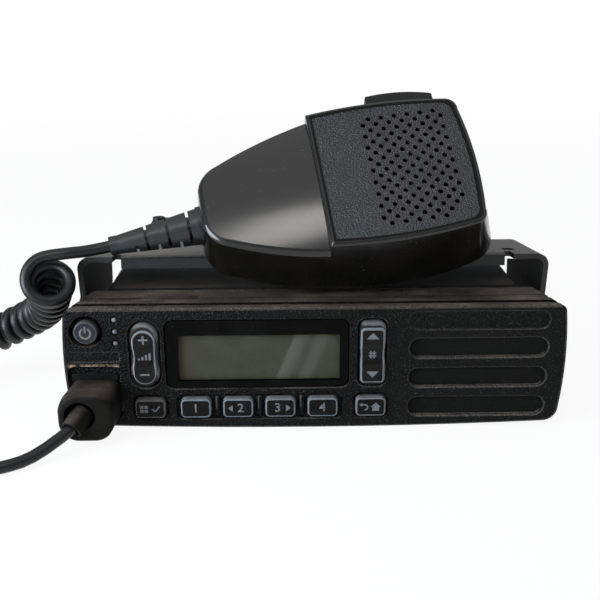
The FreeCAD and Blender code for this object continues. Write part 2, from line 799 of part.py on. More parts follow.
def bracket_screw(side):
    """Hand screw: fluted knob, washer face and shank."""
    start = side * (body_width / 2 - 5.2)
    face = bracket_width / 2 + washer
    shank = rod(V(start, pivot_y, pivot_z), V(side, 0, 0), pivot_r, face + 0.5 - abs(start))
    knob = rod(V(side * (face + 0.02), pivot_y, pivot_z), V(side, 0, 0), knob_r, knob_depth)
    rim = [e for e in knob.Edges if abs(abs(e.CenterOfMass.x) - face - knob_depth) < 0.1]
    knob = knob.makeFillet(1.2, rim)
    for n in range(8):
        a = n * math.pi / 4
        y = pivot_y + (knob_r + 0.7) * math.cos(a)
        z = pivot_z + (knob_r + 0.7) * math.sin(a)
        knob = knob.cut(rod(V(side * (face + 1.8), y, z), V(side, 0, 0), 1.7, knob_depth))
    return shank.fuse(knob)


def bracket_washers():
    rings = []
    for side in (-1, 1):
        at = V(side * (bracket_width / 2), pivot_y, pivot_z)
        ring = rod(at, V(side, 0, 0), washer_r, washer)
        rings.append(ring.cut(rod(at, V(side, 0, 0), pivot_r + fit, washer)))
    return rings


def mic_outline(w, share, inset=0.0):
    """Closed outline at height w, part way from the seam (0) to the rim (1)."""

    def point(a, b, s):
        u = a[0] + (b[0] - a[0]) * share
        v = a[1] + (b[1] - a[1]) * share
        return V(u * (1 - inset / seam_half_u), s * v * (1 - inset / seam_half_v), w)

    edges = []
    for s in (1, -1):
        for seam, rim in zip(seam_arcs, rim_arcs):
            edges.append(Part.Arc(*[point(a, b, s) for a, b in zip(seam, rim)]).toShape())
    first, last = seam_arcs[0][0], seam_arcs[-1][2]
    first_r, last_r = rim_arcs[0][0], rim_arcs[-1][2]
    left = Part.LineSegment(point(first, first_r, 1), point(first, first_r, -1)).toShape()
    end = point((seam_end_u, 0.0), (rim_end_u, 0.0), 1)
    right = Part.Arc(point(last, last_r, 1), end, point(last, last_r, -1)).toShape()
    return Part.Wire(Part.__sortEdges__(edges + [left, right]))


def neck_cutter(extra):
    """The air over the neck, left of the raised face, with the neck's crowned top as its floor."""
    top = mic_thick - neck_step + extra
    r = neck_crown_r + extra
    slope = math.degrees(math.atan2(neck_fall, neck_run))
    air = box(-80, neck_u, -60, 60, 0, 60)
    crown = rod(V(neck_u + 20, 0, top - r), V(-1, 0, 0), r, 120)
    crown.rotate(V(neck_u, 0, top), V(0, 1, 0), -slope)
    return air.cut(crown)


def mic_front_shell():
    outer = Part.makeLoft([mic_outline(mic_seam + 0.02, 0), mic_outline(mic_thick, 1)], True, True)
    outer = outer.cut(neck_cutter(0))
    neck = [e for e in outer.Edges if is_neck_edge(e)]
    outer = outer.makeFillet(neck_round, neck)
    rim = [e for e in outer.Edges if e.BoundBox.ZMin > mic_thick - 0.1]
    outer = outer.makeFillet(rim_round, rim)
    inner = Part.makeLoft(
        [
            mic_outline(mic_seam - 1, 0, mic_wall * 1.25),
            mic_outline(mic_thick - mic_wall - inlay, 0.88, mic_wall * 1.2),
        ],
        True, True,
    )
    shell = outer.cut(inner.cut(neck_cutter(-mic_wall)))
    seat = inlay_solid(gap * 0.3, 3.0)
    shell = shell.cut(seat)
    for u, v in grille_places():
        shell = shell.cut(rod(V(u, v, 0), V(0, 0, 1), hole_r + 0.25, 40))
    u0, u1 = ptt_start_u - gap, ptt_start_u + ptt_length + gap
    shell = shell.cut(box(u0, u1, 20, 60, ptt_low_w - gap, ptt_high_w + gap))
    for u, v in mic_screw_places():
        post = rod(V(u, v, mic_seam + 0.05), V(0, 0, 1), 2.8, mic_thick).common(outer)
        shell = shell.fuse(post.cut(seat))
        shell = shell.cut(rod(V(u, v, 0), V(0, 0, 1), 1.5, 11))
    return shell.cut(relief_seat()).removeSplitter()


def is_neck_edge(edge):
    """Whether an edge runs round the top of the neck."""
    middle = edge.CenterOfMass
    span = edge.BoundBox
    left = middle.x < neck_u - 1 and span.XMax < neck_u + 0.5
    upper = middle.z > mic_thick - neck_step - neck_fall - 9 and span.ZMin > mic_seam + 4
    return left and upper and span.ZLength < 12


def relief_seat():
    """Room for the collar of the strain relief in both shells."""
    return drooped(rod(V(relief_u + 0.1, 0, 0), V(-1, 0, 0), relief_big_r + 0.55, 20))


def inlay_solid(grow, proud):
    """The textured plate let into the raised face."""
    scale = 1 - (inlay_margin - grow) / 25.0
    mid_u = 17.0
    floor = mic_thick - inlay

    def inner(u, v):
        return V(mid_u + (u - mid_u) * scale, v * scale, floor)

    sides = [Part.Arc(*[inner(u, s * v) for u, v in arc]).toShape() for s in (1, -1) for arc in rim_arcs[2:]]
    a, b = rim_arcs[2][0], rim_arcs[-1][2]
    left = Part.LineSegment(inner(a[0], a[1]), inner(a[0], -a[1])).toShape()
    right = Part.Arc(inner(*b), inner(rim_end_u, 0), inner(b[0], -b[1])).toShape()
    wire = Part.Wire(Part.__sortEdges__(sides + [left, right]))
    return Part.Face(wire).extrude(V(0, 0, inlay - 0.15 + proud))


def grille_places():
    """Staggered holes: rows of seven with rows of six between them."""
    places = []
    for row in range(hole_rows + 1):
        for column in range(hole_columns):
            if row < hole_rows and not (row == hole_rows - 1 and column == hole_columns - 1):
                places.append((hole_start_u + column * hole_pitch, hole_start_v - (row + 0.5) * hole_pitch))
            if column < hole_columns - 1 and not (row == hole_rows and column == hole_columns - 2):
                places.append((hole_start_u + (column + 0.5) * hole_pitch, hole_start_v - row * hole_pitch))
    return places


def mic_face_inlay():
    plate = inlay_solid(0, 0)
    holes = [rod(V(u, v, 0), V(0, 0, 1), hole_r, 40) for u, v in grille_places()]
    return plate.cut(Part.makeCompound(holes))


def mic_back_shell():
    low = Part.makeLoft([mic_outline(0, 0, mic_back_round), mic_outline(mic_seam * 0.55, 0, 0.35),
                         mic_outline(mic_seam, 0)], True, True)
    floor, brim = mic_outline(mic_wall, 0, mic_wall * 2.6), mic_outline(mic_seam + 1, 0, mic_wall * 1.25)
    inner = Part.makeLoft([floor, brim], True, True)
    shell = low.cut(inner)
    for u, v in mic_screw_places():
        shell = shell.fuse(rod(V(u, v, 0.5), V(0, 0, 1), 3.0, mic_seam - 0.5))
        shell = shell.cut(rod(V(u, v, -1), V(0, 0, 1), 1.5, 20))
        shell = shell.cut(rod(V(u, v, -1), V(0, 0, 1), 2.6, 2.6))
    shell = shell.cut(rod(V(stud_u, 0, -1), V(0, 0, 1), 1.6, 9))
    return shell.cut(relief_seat()).removeSplitter()


def mic_screw_places():
    return ((-36.0, 0.0), (4.0, 20.0), (4.0, -20.0))


def mic_screws():
    screws = []
    for u, v in mic_screw_places():
        shank = rod(V(u, v, 1.6), V(0, 0, 1), 1.45, 9)
        head = rod(V(u, v, 0.2), V(0, 0, 1), 2.4, 1.4)
        screws.append(shank.fuse(head).cut(box(u - 1.5, u + 1.5, v - 0.3, v + 0.3, -1, 0.8)))
    return screws


def mic_hang_stud():
    neck = rod(V(stud_u, 0, 0), V(0, 0, -1), stud_neck_r, stud_height - 1.5)
    cap = rod(V(stud_u, 0, -stud_height + 2.5), V(0, 0, -1), stud_r, 2.5)
    rim = [e for e in cap.Edges if abs(e.CenterOfMass.z + stud_height) < 0.01]
    cap = cap.makeFillet(0.9, rim)
    stem = rod(V(stud_u, 0, -1), V(0, 0, 1), 1.55, 6.5)
    nut = rod(V(stud_u, 0, mic_wall + 0.02), V(0, 0, 1), 3.4, 2.0)
    return neck.fuse(cap).fuse(stem).fuse(nut)


def ptt_button():
    """Press bar with a bowed front, whose wider root stays behind the side wall."""
    u0, u1 = ptt_start_u, ptt_start_u + ptt_length
    w0, w1 = ptt_low_w, ptt_high_w
    bow = Part.Arc(V(u0, ptt_out_v - 0.3, w0), V((u0 + u1) / 2, ptt_out_v, w0), V(u1, ptt_out_v - 2.2, w0))
    sides = Part.makePolygon([V(u1, ptt_out_v - 2.2, w0), V(u1, ptt_root_v, w0), V(u0, ptt_root_v, w0),
                              V(u0, ptt_out_v - 0.3, w0)])
    bar = Part.Face(Part.Wire([bow.toShape()] + sides.Edges)).extrude(V(0, 0, w1 - w0))
    outer = [e for e in bar.Edges if e.BoundBox.YMin > ptt_out_v - 2.4]
    bar = bar.makeFillet(1.5, outer)
    root = box(u0 - 1.2, u1 + 0.3, ptt_root_v, ptt_root_v + 1.2, w0, w1 - 3.0)
    return bar.fuse(root).removeSplitter()


def ptt_switch():
    mid = ptt_start_u + ptt_length / 2
    top = ptt_root_v - ptt_travel - gap
    body = box(mid - 4, mid + 4, top - 7.0, top - 0.8, 9.2, 14.0)
    return body.fuse(rod(V(mid, top - 1.0, 11.6), V(0, 1, 0), 1.2, 1.0))


def mic_board():
    plate = box(-28.0, 40.0, -16.0, 19.6, 7.6, 9.2)
    for u, v in mic_screw_places():
        plate = plate.cut(rod(V(u, v, 0), V(0, 0, 1), 3.4, 30))
    return plate


def mic_element():
    can = rod(V(22.0, 0, 9.2), V(0, 0, 1), 8.0, 13.4)
    return can.cut(rod(V(22.0, 0, 20.6), V(0, 0, 1), 5.0, 9))


def mic_strain_relief():
    """Tapered sleeve on the cord, cut by staggered half slots."""
    r0, r1 = relief_big_r, relief_small_r
    collar = rod(V(relief_u, 0, 0), V(-1, 0, 0), r0 + 0.5, 3.4)
    taper = Part.makeCone(r0, r1, relief_length - 3.4, V(relief_u - 3.4, 0, 0), V(-1, 0, 0))
    ring = rod(V(relief_u - relief_length + 2.4, 0, 0), V(-1, 0, 0), r1 + 0.35, 2.4)
    sleeve = collar.fuse(taper).fuse(ring)
    core = rod(V(0, 0, 0), V(-1, 0, 0), cord_d / 2 + 0.9, 100)
    for n in range(6):
        u = relief_u - 6.6 - n * 3.7
        s = 1 if n % 2 else -1
        slot = box(u - 0.5, u + 0.5, -9, 9, -9, 9)
        bridge = box(u - 1, u + 1, -9, 9, s * 2.2 if s > 0 else -9, 9 if s > 0 else s * 2.2)
        sleeve = sleeve.cut(slot.cut(core).cut(bridge))
    sleeve = sleeve.cut(rod(V(relief_u + 1, 0, 0), V(-1, 0, 0), cord_d / 2, relief_length))
    return drooped(sleeve)


def drooped(shape):
    """Turns a shape made on the U axis to the cord's exit direction."""
    moved = shape.copy()
    moved.rotate(V(relief_u, 0, 0), V(0, 0, 1), relief_droop_deg)
    moved.translate(V(0, relief_v, relief_w))
    return moved


def mic_placement():
    """Tilt and turn of the microphone as it leans between the head and the bracket."""
    turn = FreeCAD.Rotation(V(1, 0, 0), mic_tilt_deg).multiply(FreeCAD.Rotation(V(0, 0, 1), mic_spin_deg))
    t = math.radians(mic_tilt_deg)
    pivot = V(0, pivot_y, pivot_z)
    lip = V(0, flange_front + lip_r, bracket_top - lip_r) - pivot
    lip = FreeCAD.Rotation(V(1, 0, 0), -bracket_lean_deg).multVec(lip) + pivot
    normal = V(0, -math.sin(t), math.cos(t))
    along = V(0, math.cos(t), math.sin(t))
    start = lip + normal * (lip_r + mic_rest)
    place = FreeCAD.Placement(V(mic_x, start.y, start.z), turn)
    probe = mic_back_shell()
    probe.Placement = place
    lowest = probe.optimalBoundingBox(False).ZMin
    shift = (head_top + mic_lift - lowest) / math.sin(t)
    return FreeCAD.Placement(V(mic_x, start.y, start.z) + along * shift, turn)


def tube(points, d):
    """Straight runs joined by tangent arcs, each as large as its two runs allow."""
    edges = []
    here = points[0]
    radii = []
    for n in range(1, len(points) - 1):
        a, b, c = points[n - 1], points[n], points[n + 1]
        run_in, run_out = (b - a), (c - b)
        turn = run_in.getAngle(run_out)
        cut = 0.45 * min(run_in.Length, run_out.Length)
        r = cut / math.tan(turn / 2)
        radii.append(round(r, 1))
        p = b - V(run_in).normalize() * cut
        q = b + V(run_out).normalize() * cut
        middle = (V(run_out).normalize() - V(run_in).normalize()).normalize()
        centre = b + middle * math.hypot(r, cut)
        m = centre + (b - centre).normalize() * r
        edges.append(Part.LineSegment(here, p).toShape())
        edges.append(Part.Arc(p, m, q).toShape())
        here = q
    edges.append(Part.LineSegment(here, points[-1]).toShape())
    spine = Part.Wire(edges)
    first = (points[1] - points[0])
    ring = Part.Wire(Part.makeCircle(d / 2, points[0], first))
    solid = spine.makePipeShell([ring], True, False)
    print("radii", radii, "length", round(spine.Length, 1), "volume/section*length",
          round(solid.Volume / (math.pi * d * d / 4 * spine.Length), 4))
    return solid, spine.Length


def biarc(p0, t0, p1, t1):
    """Two arcs that leave p0 along t0 and reach p1 along t1."""
    v = p1 - p0
    s = t0 + t1
    a = 2 * (1 - t0.dot(t1))
    b = v.dot(s)
    if abs(a) < 1e-6:
        k = v.dot(v) / (2 * b)
    else:
        k = (-b + math.sqrt(b * b + a * v.dot(v))) / a
    q0, q1 = p0 + t0 * k, p1 - t1 * k
    m = (q0 + q1) * 0.5
    return [arc_from(p0, t0, m), arc_from(m, (q1 - q0).normalize(), p1)]


def arc_from(p, t, q):
    """The arc from p to q that starts along t."""
    chord = q - p
    half = chord.Length / 2
    c = V(chord).normalize()
    side = t - c * t.dot(c)
    if side.Length < 1e-7:
        return Part.LineSegment(p, q).toShape()
    side.normalize()
    angle = math.acos(max(-1.0, min(1.0, t.dot(c))))
    sag = half * math.tan(angle / 2)
    return Part.Arc(p, (p + q) * 0.5 + side * sag, q).toShape()


def curl_line():
    """The smooth axis that the curls wind round."""
    curve = Part.BSplineCurve()
    curve.interpolate([V(*p) for p in curl_axis])
    return curve


def curl_points():
    """Quarter-turn points of the curls and the cord's direction there."""
    curve = curl_line()
    total = curve.length()
    marks = 400
    frames = []
    side = V(0, 0, 1)
    for n in range(marks + 1):
        at = curve.parameterAtDistance(total * n / marks, curve.FirstParameter)
        axis = V(curve.tangent(at)[0]).normalize()
        side = (side - axis * side.dot(axis)).normalize()
        frames.append((curve.value(at), V(side), axis.cross(side), axis))
    highest = math.atan2(-frames[-1][2].z, frames[-1][1].z)
    sweep = 2 * math.pi * round(total / curl_pitch) + highest
    quarters = round(sweep / (math.pi / 2))
    ends = []
    for n in range(quarters + 1):
        share = n / quarters
        k = min(int(share * marks), marks - 1)
        mix = share * marks - k
        middle, side, other, axis = (a * (1 - mix) + b * mix for a, b in zip(frames[k], frames[k + 1]))
        angle = sweep * share
        r = curl_r + (first_curl_r - curl_r) * math.exp(-angle / loosening)
        out = side * math.cos(angle) - other * math.sin(angle)
        round_way = side * -math.sin(angle) - other * math.cos(angle)
        ends.append((middle + out * r, (round_way * r + axis * (total / sweep)).normalize()))
    return ends


def least_gap(path):
    """Least clear space between the curls and themselves, on points along the cord, and its place."""
    step = 1.2
    marks = path.discretize(Distance=step)
    skip = int(3.0 * curl_r / step)
    reach = int(9.0 * math.pi * curl_r / step)
    best = min((marks[i].distanceToPoint(marks[j]), i) for i in range(len(marks))
               for j in range(i + skip, min(len(marks), i + reach)))
    return best[0] - cord_d, marks[best[1]]


def curly_cord(entry, entry_direction):
    ends = curl_points()
    lead = entry_direction * cord_d
    edges = [Part.LineSegment(entry, entry + lead).toShape()]
    p, t = entry + lead, entry_direction
    for q, s in ends[1:]:
        edges += biarc(p, t, q, s)
        p, t = q, s
    edges.append(Part.LineSegment(p, p + t * cord_d).toShape())
    spine = Part.Wire(edges)
    ring = Part.Wire(Part.makeCircle(cord_d / 2, entry, entry_direction))
    solid = spine.makePipeShell([ring], True, False)
    space, where = least_gap(spine)
    print("curls", len(ends) // 4, "length", round(spine.Length, 1), "gap", round(space, 2), "at", where,
          "volume/section*length", round(solid.Volume / (math.pi * cord_d ** 2 / 4 * spine.Length), 4))
    return solid, p + t * cord_d, t, spine


def stem_aim():
    return (boot_tail - stem_root).normalize()


def cord_end():
    """Where the cord ends, a little below the middle of the bore's floor."""
    return boot_tail - stem_aim() * stem_bore_depth + V(0.4, 0, -0.3)


def plug_boot():
    """Rubber boot: narrow where it meets the face, fuller towards the cord, with a round well."""
    root_y, mid_y = jack_well_depth - 0.4, -8.6
    sections = [
        outline_face(boot_x + 0.7, boot_z + 1.2, boot_root_width, boot_root_height, 2.4, root_y),
        outline_face(boot_x, boot_z, boot_mid_width, boot_mid_height, boot_mid_corner, mid_y),
        outline_face(boot_end_x, boot_end_z, boot_end_width, boot_end_height, boot_end_corner, -boot_length),
    ]
    body = Part.makeLoft([s.OuterWire for s in sections], True, True)
    right = boot_x + boot_mid_width / 2 + 0.4
    low = boot_z - boot_mid_height / 2 - 0.9
    corner = [V(right, -boot_length - 1, low), V(right, -boot_length - 1, low + boot_chamfer),
              V(right - boot_chamfer * 0.62, -boot_length - 1, low)]
    corner = Part.Face(Part.makePolygon(corner + [corner[0]])).extrude(V(0, boot_length, 0))
    end = [e for e in body.Edges if e.BoundBox.YMax < -boot_length + 0.01]
    body = body.makeFillet(boot_round, end).cut(corner)
    well = rod(V(boot_well_x, -boot_length - 1, boot_well_z), V(0, 1, 0), boot_well_r, 1 + boot_well_depth)
    length = stem_root.distanceToPoint(boot_tail)
    stem = Part.makeCone(stem_root_r, stem_tip_r, length, stem_root, stem_aim())
    root = rod(stem_root, V(0, 1, 0), stem_root_r, 1.0)
    bore = rod(boot_tail - stem_aim() * stem_bore_depth, stem_aim(), cord_d / 2 + stem_bore_play,
               stem_bore_depth + 1)
    return body.cut(well).fuse(stem).fuse(root).cut(bore).removeSplitter()


def modular_plug():
    y0 = jack_well_depth - 0.2
    back = jack_depth - 1.6
    body = box(jack_x - plug_half, jack_x + plug_half, y0, back, jack_z - 4.4, jack_z + 2.2)
    latch = box(jack_x - 2.8, jack_x + 2.8, y0, back - 2.0, jack_z + 2.9, jack_z + 4.1)
    hinge = box(jack_x - 2.8, jack_x + 2.8, back - 3.2, back - 2.0, jack_z + 2.0, jack_z + 3.2)
    return body.fuse(latch).fuse(hinge)


def placed(shape, place):
    moved = shape.copy()
    moved.Placement = place.multiply(moved.Placement)
    return moved


def main():
    os.makedirs("parts", exist_ok=True)
    export("front_bezel", front_bezel())
    export("display_lens", display_lens())
    export("lcd_panel", lcd_panel())
    export("backlight_frame", backlight_frame())
    export("status_lenses", *status_lenses())
    export("power_button", power_button())
    for name, *size in rocker_places():
        export(name, rocker(*size))
    for name, x in key_places():
        export(name, push_key(x, key_width, key_height, key_corner))
    export("keypad_membrane", keypad_membrane())
    export("control_board", control_board())
    export("speaker_cloth", speaker_cloth())
    export("speaker", speaker())
    export("mic_jack", mic_jack())
    export("chassis", chassis())
    export("top_cover", top_cover())
    export("cover_gasket", cover_gasket())
    export("cover_screws", *cover_screws())
    export("main_board", main_board())
    export("rf_shield", rf_shield())
    export("power_amplifier", power_amplifier())
    export("antenna_connector", antenna_connector())
    for name, port in zip(("power_connector", "accessory_connector"), rear_ports()):
        export(name, rear_socket(*port))
    export("mounting_bracket", mounting_bracket())
    export("left_bracket_screw", bracket_screw(-1))
    export("right_bracket_screw", bracket_screw(1))
    export("bracket_washers", *bracket_washers())
    place = mic_placement()
    for name, shape in (("mic_front_shell", mic_front_shell()), ("mic_back_shell", mic_back_shell()),
                        ("mic_face_inlay", mic_face_inlay()), ("ptt_button", ptt_button()),
                        ("ptt_switch", ptt_switch()), ("mic_board", mic_board()),
                        ("mic_element", mic_element()), ("mic_hang_stud", mic_hang_stud()),
                        ("mic_strain_relief", mic_strain_relief())):
        export(name, placed(shape, place))
    export("mic_screws", *[placed(s, place) for s in mic_screws()])
    droop = math.radians(relief_droop_deg)
    out = V(-math.cos(droop), -math.sin(droop), 0)
    inner = V(relief_u, relief_v, relief_w)
    outer = inner + out * relief_length
    start = place.multVec(outer)
    away = (start - place.multVec(inner)).normalize()
    print("mic origin", [round(c, 2) for c in place.Base], "relief end", [round(c, 2) for c in start])
    entry = V(*curl_entry)
    bend = start + away * 7.5
    entry_direction = (entry - bend).normalize()
    lead, lead_length = tube([start, bend, entry], cord_d)
    curls, curl_end, curl_away, spine = curly_cord(entry, entry_direction)
    route = [curl_end, curl_end + curl_away * 8.6] + [V(*p) for p in floor_cord] + [cord_end()]
    plug_lead, plug_length = tube(route, cord_d)
    print("curl end", curl_end, curl_away)
    export("mic_cord_lead", lead)
    export("mic_cord_curls", curls)
    export("plug_cord_lead", plug_lead)
    export("plug_boot", plug_boot())
    export("modular_plug", modular_plug())
    print("cord length", round(lead_length + spine.Length + plug_length, 1))


main()
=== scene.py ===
import math
import bmesh
import bpy
from mathutils import Matrix, Vector


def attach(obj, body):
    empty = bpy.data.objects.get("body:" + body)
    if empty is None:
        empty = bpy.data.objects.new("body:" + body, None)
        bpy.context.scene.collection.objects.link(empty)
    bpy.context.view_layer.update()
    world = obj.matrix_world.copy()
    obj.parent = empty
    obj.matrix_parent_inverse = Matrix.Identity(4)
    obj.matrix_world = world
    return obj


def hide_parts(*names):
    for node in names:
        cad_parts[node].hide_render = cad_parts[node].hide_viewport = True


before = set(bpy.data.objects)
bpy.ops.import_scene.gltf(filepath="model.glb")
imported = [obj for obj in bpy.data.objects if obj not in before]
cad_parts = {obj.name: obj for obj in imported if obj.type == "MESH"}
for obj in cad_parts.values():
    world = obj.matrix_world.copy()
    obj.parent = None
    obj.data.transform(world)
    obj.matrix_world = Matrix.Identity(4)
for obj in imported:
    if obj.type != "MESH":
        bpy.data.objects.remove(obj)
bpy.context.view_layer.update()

print("frame loaded,", len(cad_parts), "nodes")

mm = 0.001
faceY = -72.2      # the face of the control head, in the frame's own Y
sideBend = 30.0    # radius of the rockers' pinched sides


def at(x, y, z):
    # a place in the maker's millimetres, y counted from the face
    return Vector((x, y + faceY, z)) * mm


# Shader helpers
class Wire:
    # one output socket that can be used in sums

    def __init__(self, graph, socket):
        self.graph = graph
        self.socket = socket

    def maths(self, operation, *others):
        values = dict(enumerate((self,) + others))
        return self.graph.node("Math", {"operation": operation}, values)

    def __add__(self, other):
        return self.maths("ADD", other)

    def __sub__(self, other):
        return self.maths("SUBTRACT", other)

    def __rsub__(self, other):
        return self.maths("MULTIPLY", -1.0).maths("ADD", other)

    def __mul__(self, other):
        return self.maths("MULTIPLY", other)

    def __abs__(self):
        return self.maths("ABSOLUTE")

    __radd__ = __add__
    __rmul__ = __mul__

    def between(self, low, high):
        # 0 below low, 1 above high, smooth in between
        return self.graph.node("MapRange", {"interpolation_type": "SMOOTHSTEP"},
                               {0: self, 1: low, 2: high, 3: 0.0, 4: 1.0})

    def line(self, place, core, edge):
        # 1 within core of the place, 0 past edge
        return 1.0 - abs(self - place).between(core, edge)

    def root(self):
        return self.maths("SQRT")

    def most(self, other):
        return self.maths("MAXIMUM", other)

    def least(self, other):
        return self.maths("MINIMUM", other)


class Graph:
    # a node tree that is built from empty

    def __init__(self, tree):
        self.tree = tree
        self.tree.nodes.clear()

    def plug(self, socket, value):
        if isinstance(value, Wire):
            self.tree.links.new(value.socket, socket)
        else:
            socket.default_value = value

    def node(self, kind, settings=None, values=None, out=0):
        made = self.tree.nodes.new("ShaderNode" + kind)
        for key, value in (settings or {}).items():
            setattr(made, key, value)
        for key, value in (values or {}).items():
            self.plug(made.inputs[key], value)
        return Wire(self, made.outputs[out])


class Finish(Graph):
    # one material: a Principled shader and the nodes that feed it

    def __init__(self, name, **fixed):
        self.material = bpy.data.materials.new(name)
        self.material.use_nodes = True
        super().__init__(self.material.node_tree)
        self.output = self.tree.nodes.new("ShaderNodeOutputMaterial")
        self.shader = self.tree.nodes.new("ShaderNodeBsdfPrincipled")
        self.tree.links.new(self.shader.outputs[0], self.output.inputs[0])
        self.coords = None
        self.feed(**fixed)

    def feed(self, **inputs):
        for key, value in inputs.items():
            self.plug(self.shader.inputs[key.replace("_", " ")], value)
        return self

    def where(self):
        # the point on the piece, in its own metres
        if self.coords is None:
            self.coords = self.node("TexCoord", out="Object")
        return self.coords

    def axes(self):
        point = self.where()
        return [self.node("SeparateXYZ", values={0: point}, out=n) for n in range(3)]

    def slope(self, axis):
        normal = self.node("TexCoord", out="Normal")
        return self.node("SeparateXYZ", values={0: normal}, out=axis)

    def noise(self, size, detail=2.0, roughness=0.5, stretch=None):
        # size is the width of one blotch in millimetres
        point = self.where()
        if stretch:
            point = self.node("Mapping", values={"Vector": point, "Scale": stretch})
        return self.node("TexNoise", values={"Vector": point, "Scale": 1.0 / (size * mm),
                                             "Detail": detail, "Roughness": roughness})

    def cells(self, size, out="Distance"):
        return self.node("TexVoronoi", values={"Vector": self.where(), "Scale": 1.0 / (size * mm)}, out=out)

    def mix(self, share, first, second):
        return self.node("Mix", {"data_type": "RGBA"}, {0: share, 6: first, 7: second}, out=2)

    def bump(self, height, depth):
        # depth in millimetres between a height of 0 and of 1
        return self.node("Bump", values={"Height": height, "Distance": depth * mm, "Strength": 1.0})

    def reach(self, shape):
        # metres outside a rounded rectangle drawn on the face, below zero inside
        x, y, z = self.axes()
        centreX, centreZ, halfWide, halfHigh, corner = (value * mm for value in shape)
        across = (abs(x - centreX) - (halfWide - corner)).most(0.0)
        along = (abs(z - centreZ) - (halfHigh - corner)).most(0.0)
        return (across * across + along * along).root() - corner


def grey(level, warm=0.0):
    # a colour from its level on screen, 0 to 255, leaning warm or cool
    def linear(value):
        value = max(value, 0.0) / 255.0
        return value / 12.92 if value <= 0.04045 else ((value + 0.055) / 1.055) ** 2.4
    return (linear(level + warm), linear(level), linear(level - warm), 1.0)


# Finishes
def moulded(name, level, rough, warm=0.0, blotch=3, specular=0.3, coat=0.0, grain=0.7, depth=0.0,
            paintedGlints=0.0, dust=0.0, dustLevel=80, lint=0.0):
    # plastic or paint: cloudy colour, pebble grain with painted shade in its hollows, painted glint specks
    # on the grain and settled dust
    finish = Finish(name, Specular_IOR_Level=specular, Coat_Roughness=0.2, Coat_Weight=coat)
    cloud = finish.noise(14.0, 4.0, 0.6)
    colour = finish.mix(cloud.between(0.3, 0.7), grey(level - blotch, warm), grey(level + blotch, warm))
    roughness = rough + (cloud - 0.5) * 0.12
    if depth:
        pebble = finish.cells(grain)
        fine = finish.noise(grain * 0.6, 3.0, 0.6)
        height = fine * 0.6 - pebble * 0.7
        finish.feed(Normal=finish.bump(height, depth))
        # painted shade: the grain's low places are coloured darker
        colour = finish.mix(pebble.between(0.25, 0.6) * 0.35, colour, grey(level * 0.45, warm))
    if paintedGlints:
        # painted highlight: pale specks on some of the grain's cells stand in for glint highlights
        glintSpot = 1.0 - finish.cells(grain * 0.8).between(0.10, 0.30)
        share = finish.node("SeparateColor", values={0: finish.cells(grain * 0.8, out="Color")})
        colour = finish.mix(glintSpot * share.between(0.62, 0.95) * paintedGlints, colour, grey(120, -3))
    if dust:
        lying = finish.slope(2).between(0.45, 0.98)
        patch = finish.noise(11.0, 6.0, 0.7, stretch=(0.5, 1.0, 1.0)).between(0.3, 0.75)
        crumbs = finish.noise(0.8, 2.0, 0.7).between(0.56, 0.70)
        film = (lying * (patch * 0.75 + crumbs * 0.45 + 0.12) * dust).least(1.0)
        colour = finish.mix(film, colour, grey(dustLevel, 6))
        roughness = roughness + film * 0.3
    if lint:
        fluff = finish.noise(1.1, 2.0, 0.8).between(0.66, 0.74) * lint
        colour = finish.mix(fluff, colour, grey(120, 2))
    return finish.feed(Base_Color=colour, Roughness=roughness)


# Wear and painted highlights of the head: rounded rectangles on the face, as middle x, z, half width, half
# height and corner
rims = {
    "slots": [(54.8, 28.9 - 10.65 * n, 23.7, 3.85, 3.85) for n in range(3)],
    "wells": [(-57.2, 27.5, 5.6, 12.5, 5.55), (19.0, 27.5, 5.3, 12.5, 3.2)],
    "display": [(-19.6, 27.3, 31.0, 12.5, 3.0)],
    "plates": [(54.6, 38.7, 23.8, 3.4, 3.4), (-74.2, 26.8, 8.7, 2.0, 0.9)],
    "keys": [(-19.175, 8.3, 28.3, 4.8, 2.6), (-56.1, 8.3, 6.1, 4.8, 2.6), (18.7, 8.3, 6.1, 4.8, 2.6)],
    "jack": [(-74.6, 13.7, 8.8, 9.8, 2.6)],
}
rimWearAndHighlight = {"slots": 0.55, "wells": 0.5, "display": 0.35, "plates": 0.4, "keys": 0.3, "jack": 0.4}
headWearAndHighlight = {
    "depth": (0.6, 1.1), "topEdge": 43.1, "topWidth": 0.4, "topWear": 0.8,
    "dividers": [(x, 9.6, 0.35, 2.2, 0.35) for x in (-33.8, -19.45, -5.1)], "dividerHighlight": 0.6,
    "ledgeX": -74.6, "ledgeZ": 23.7, "ledgeEnds": (7.8, 9.2), "ledgeDust": 0.75,
}


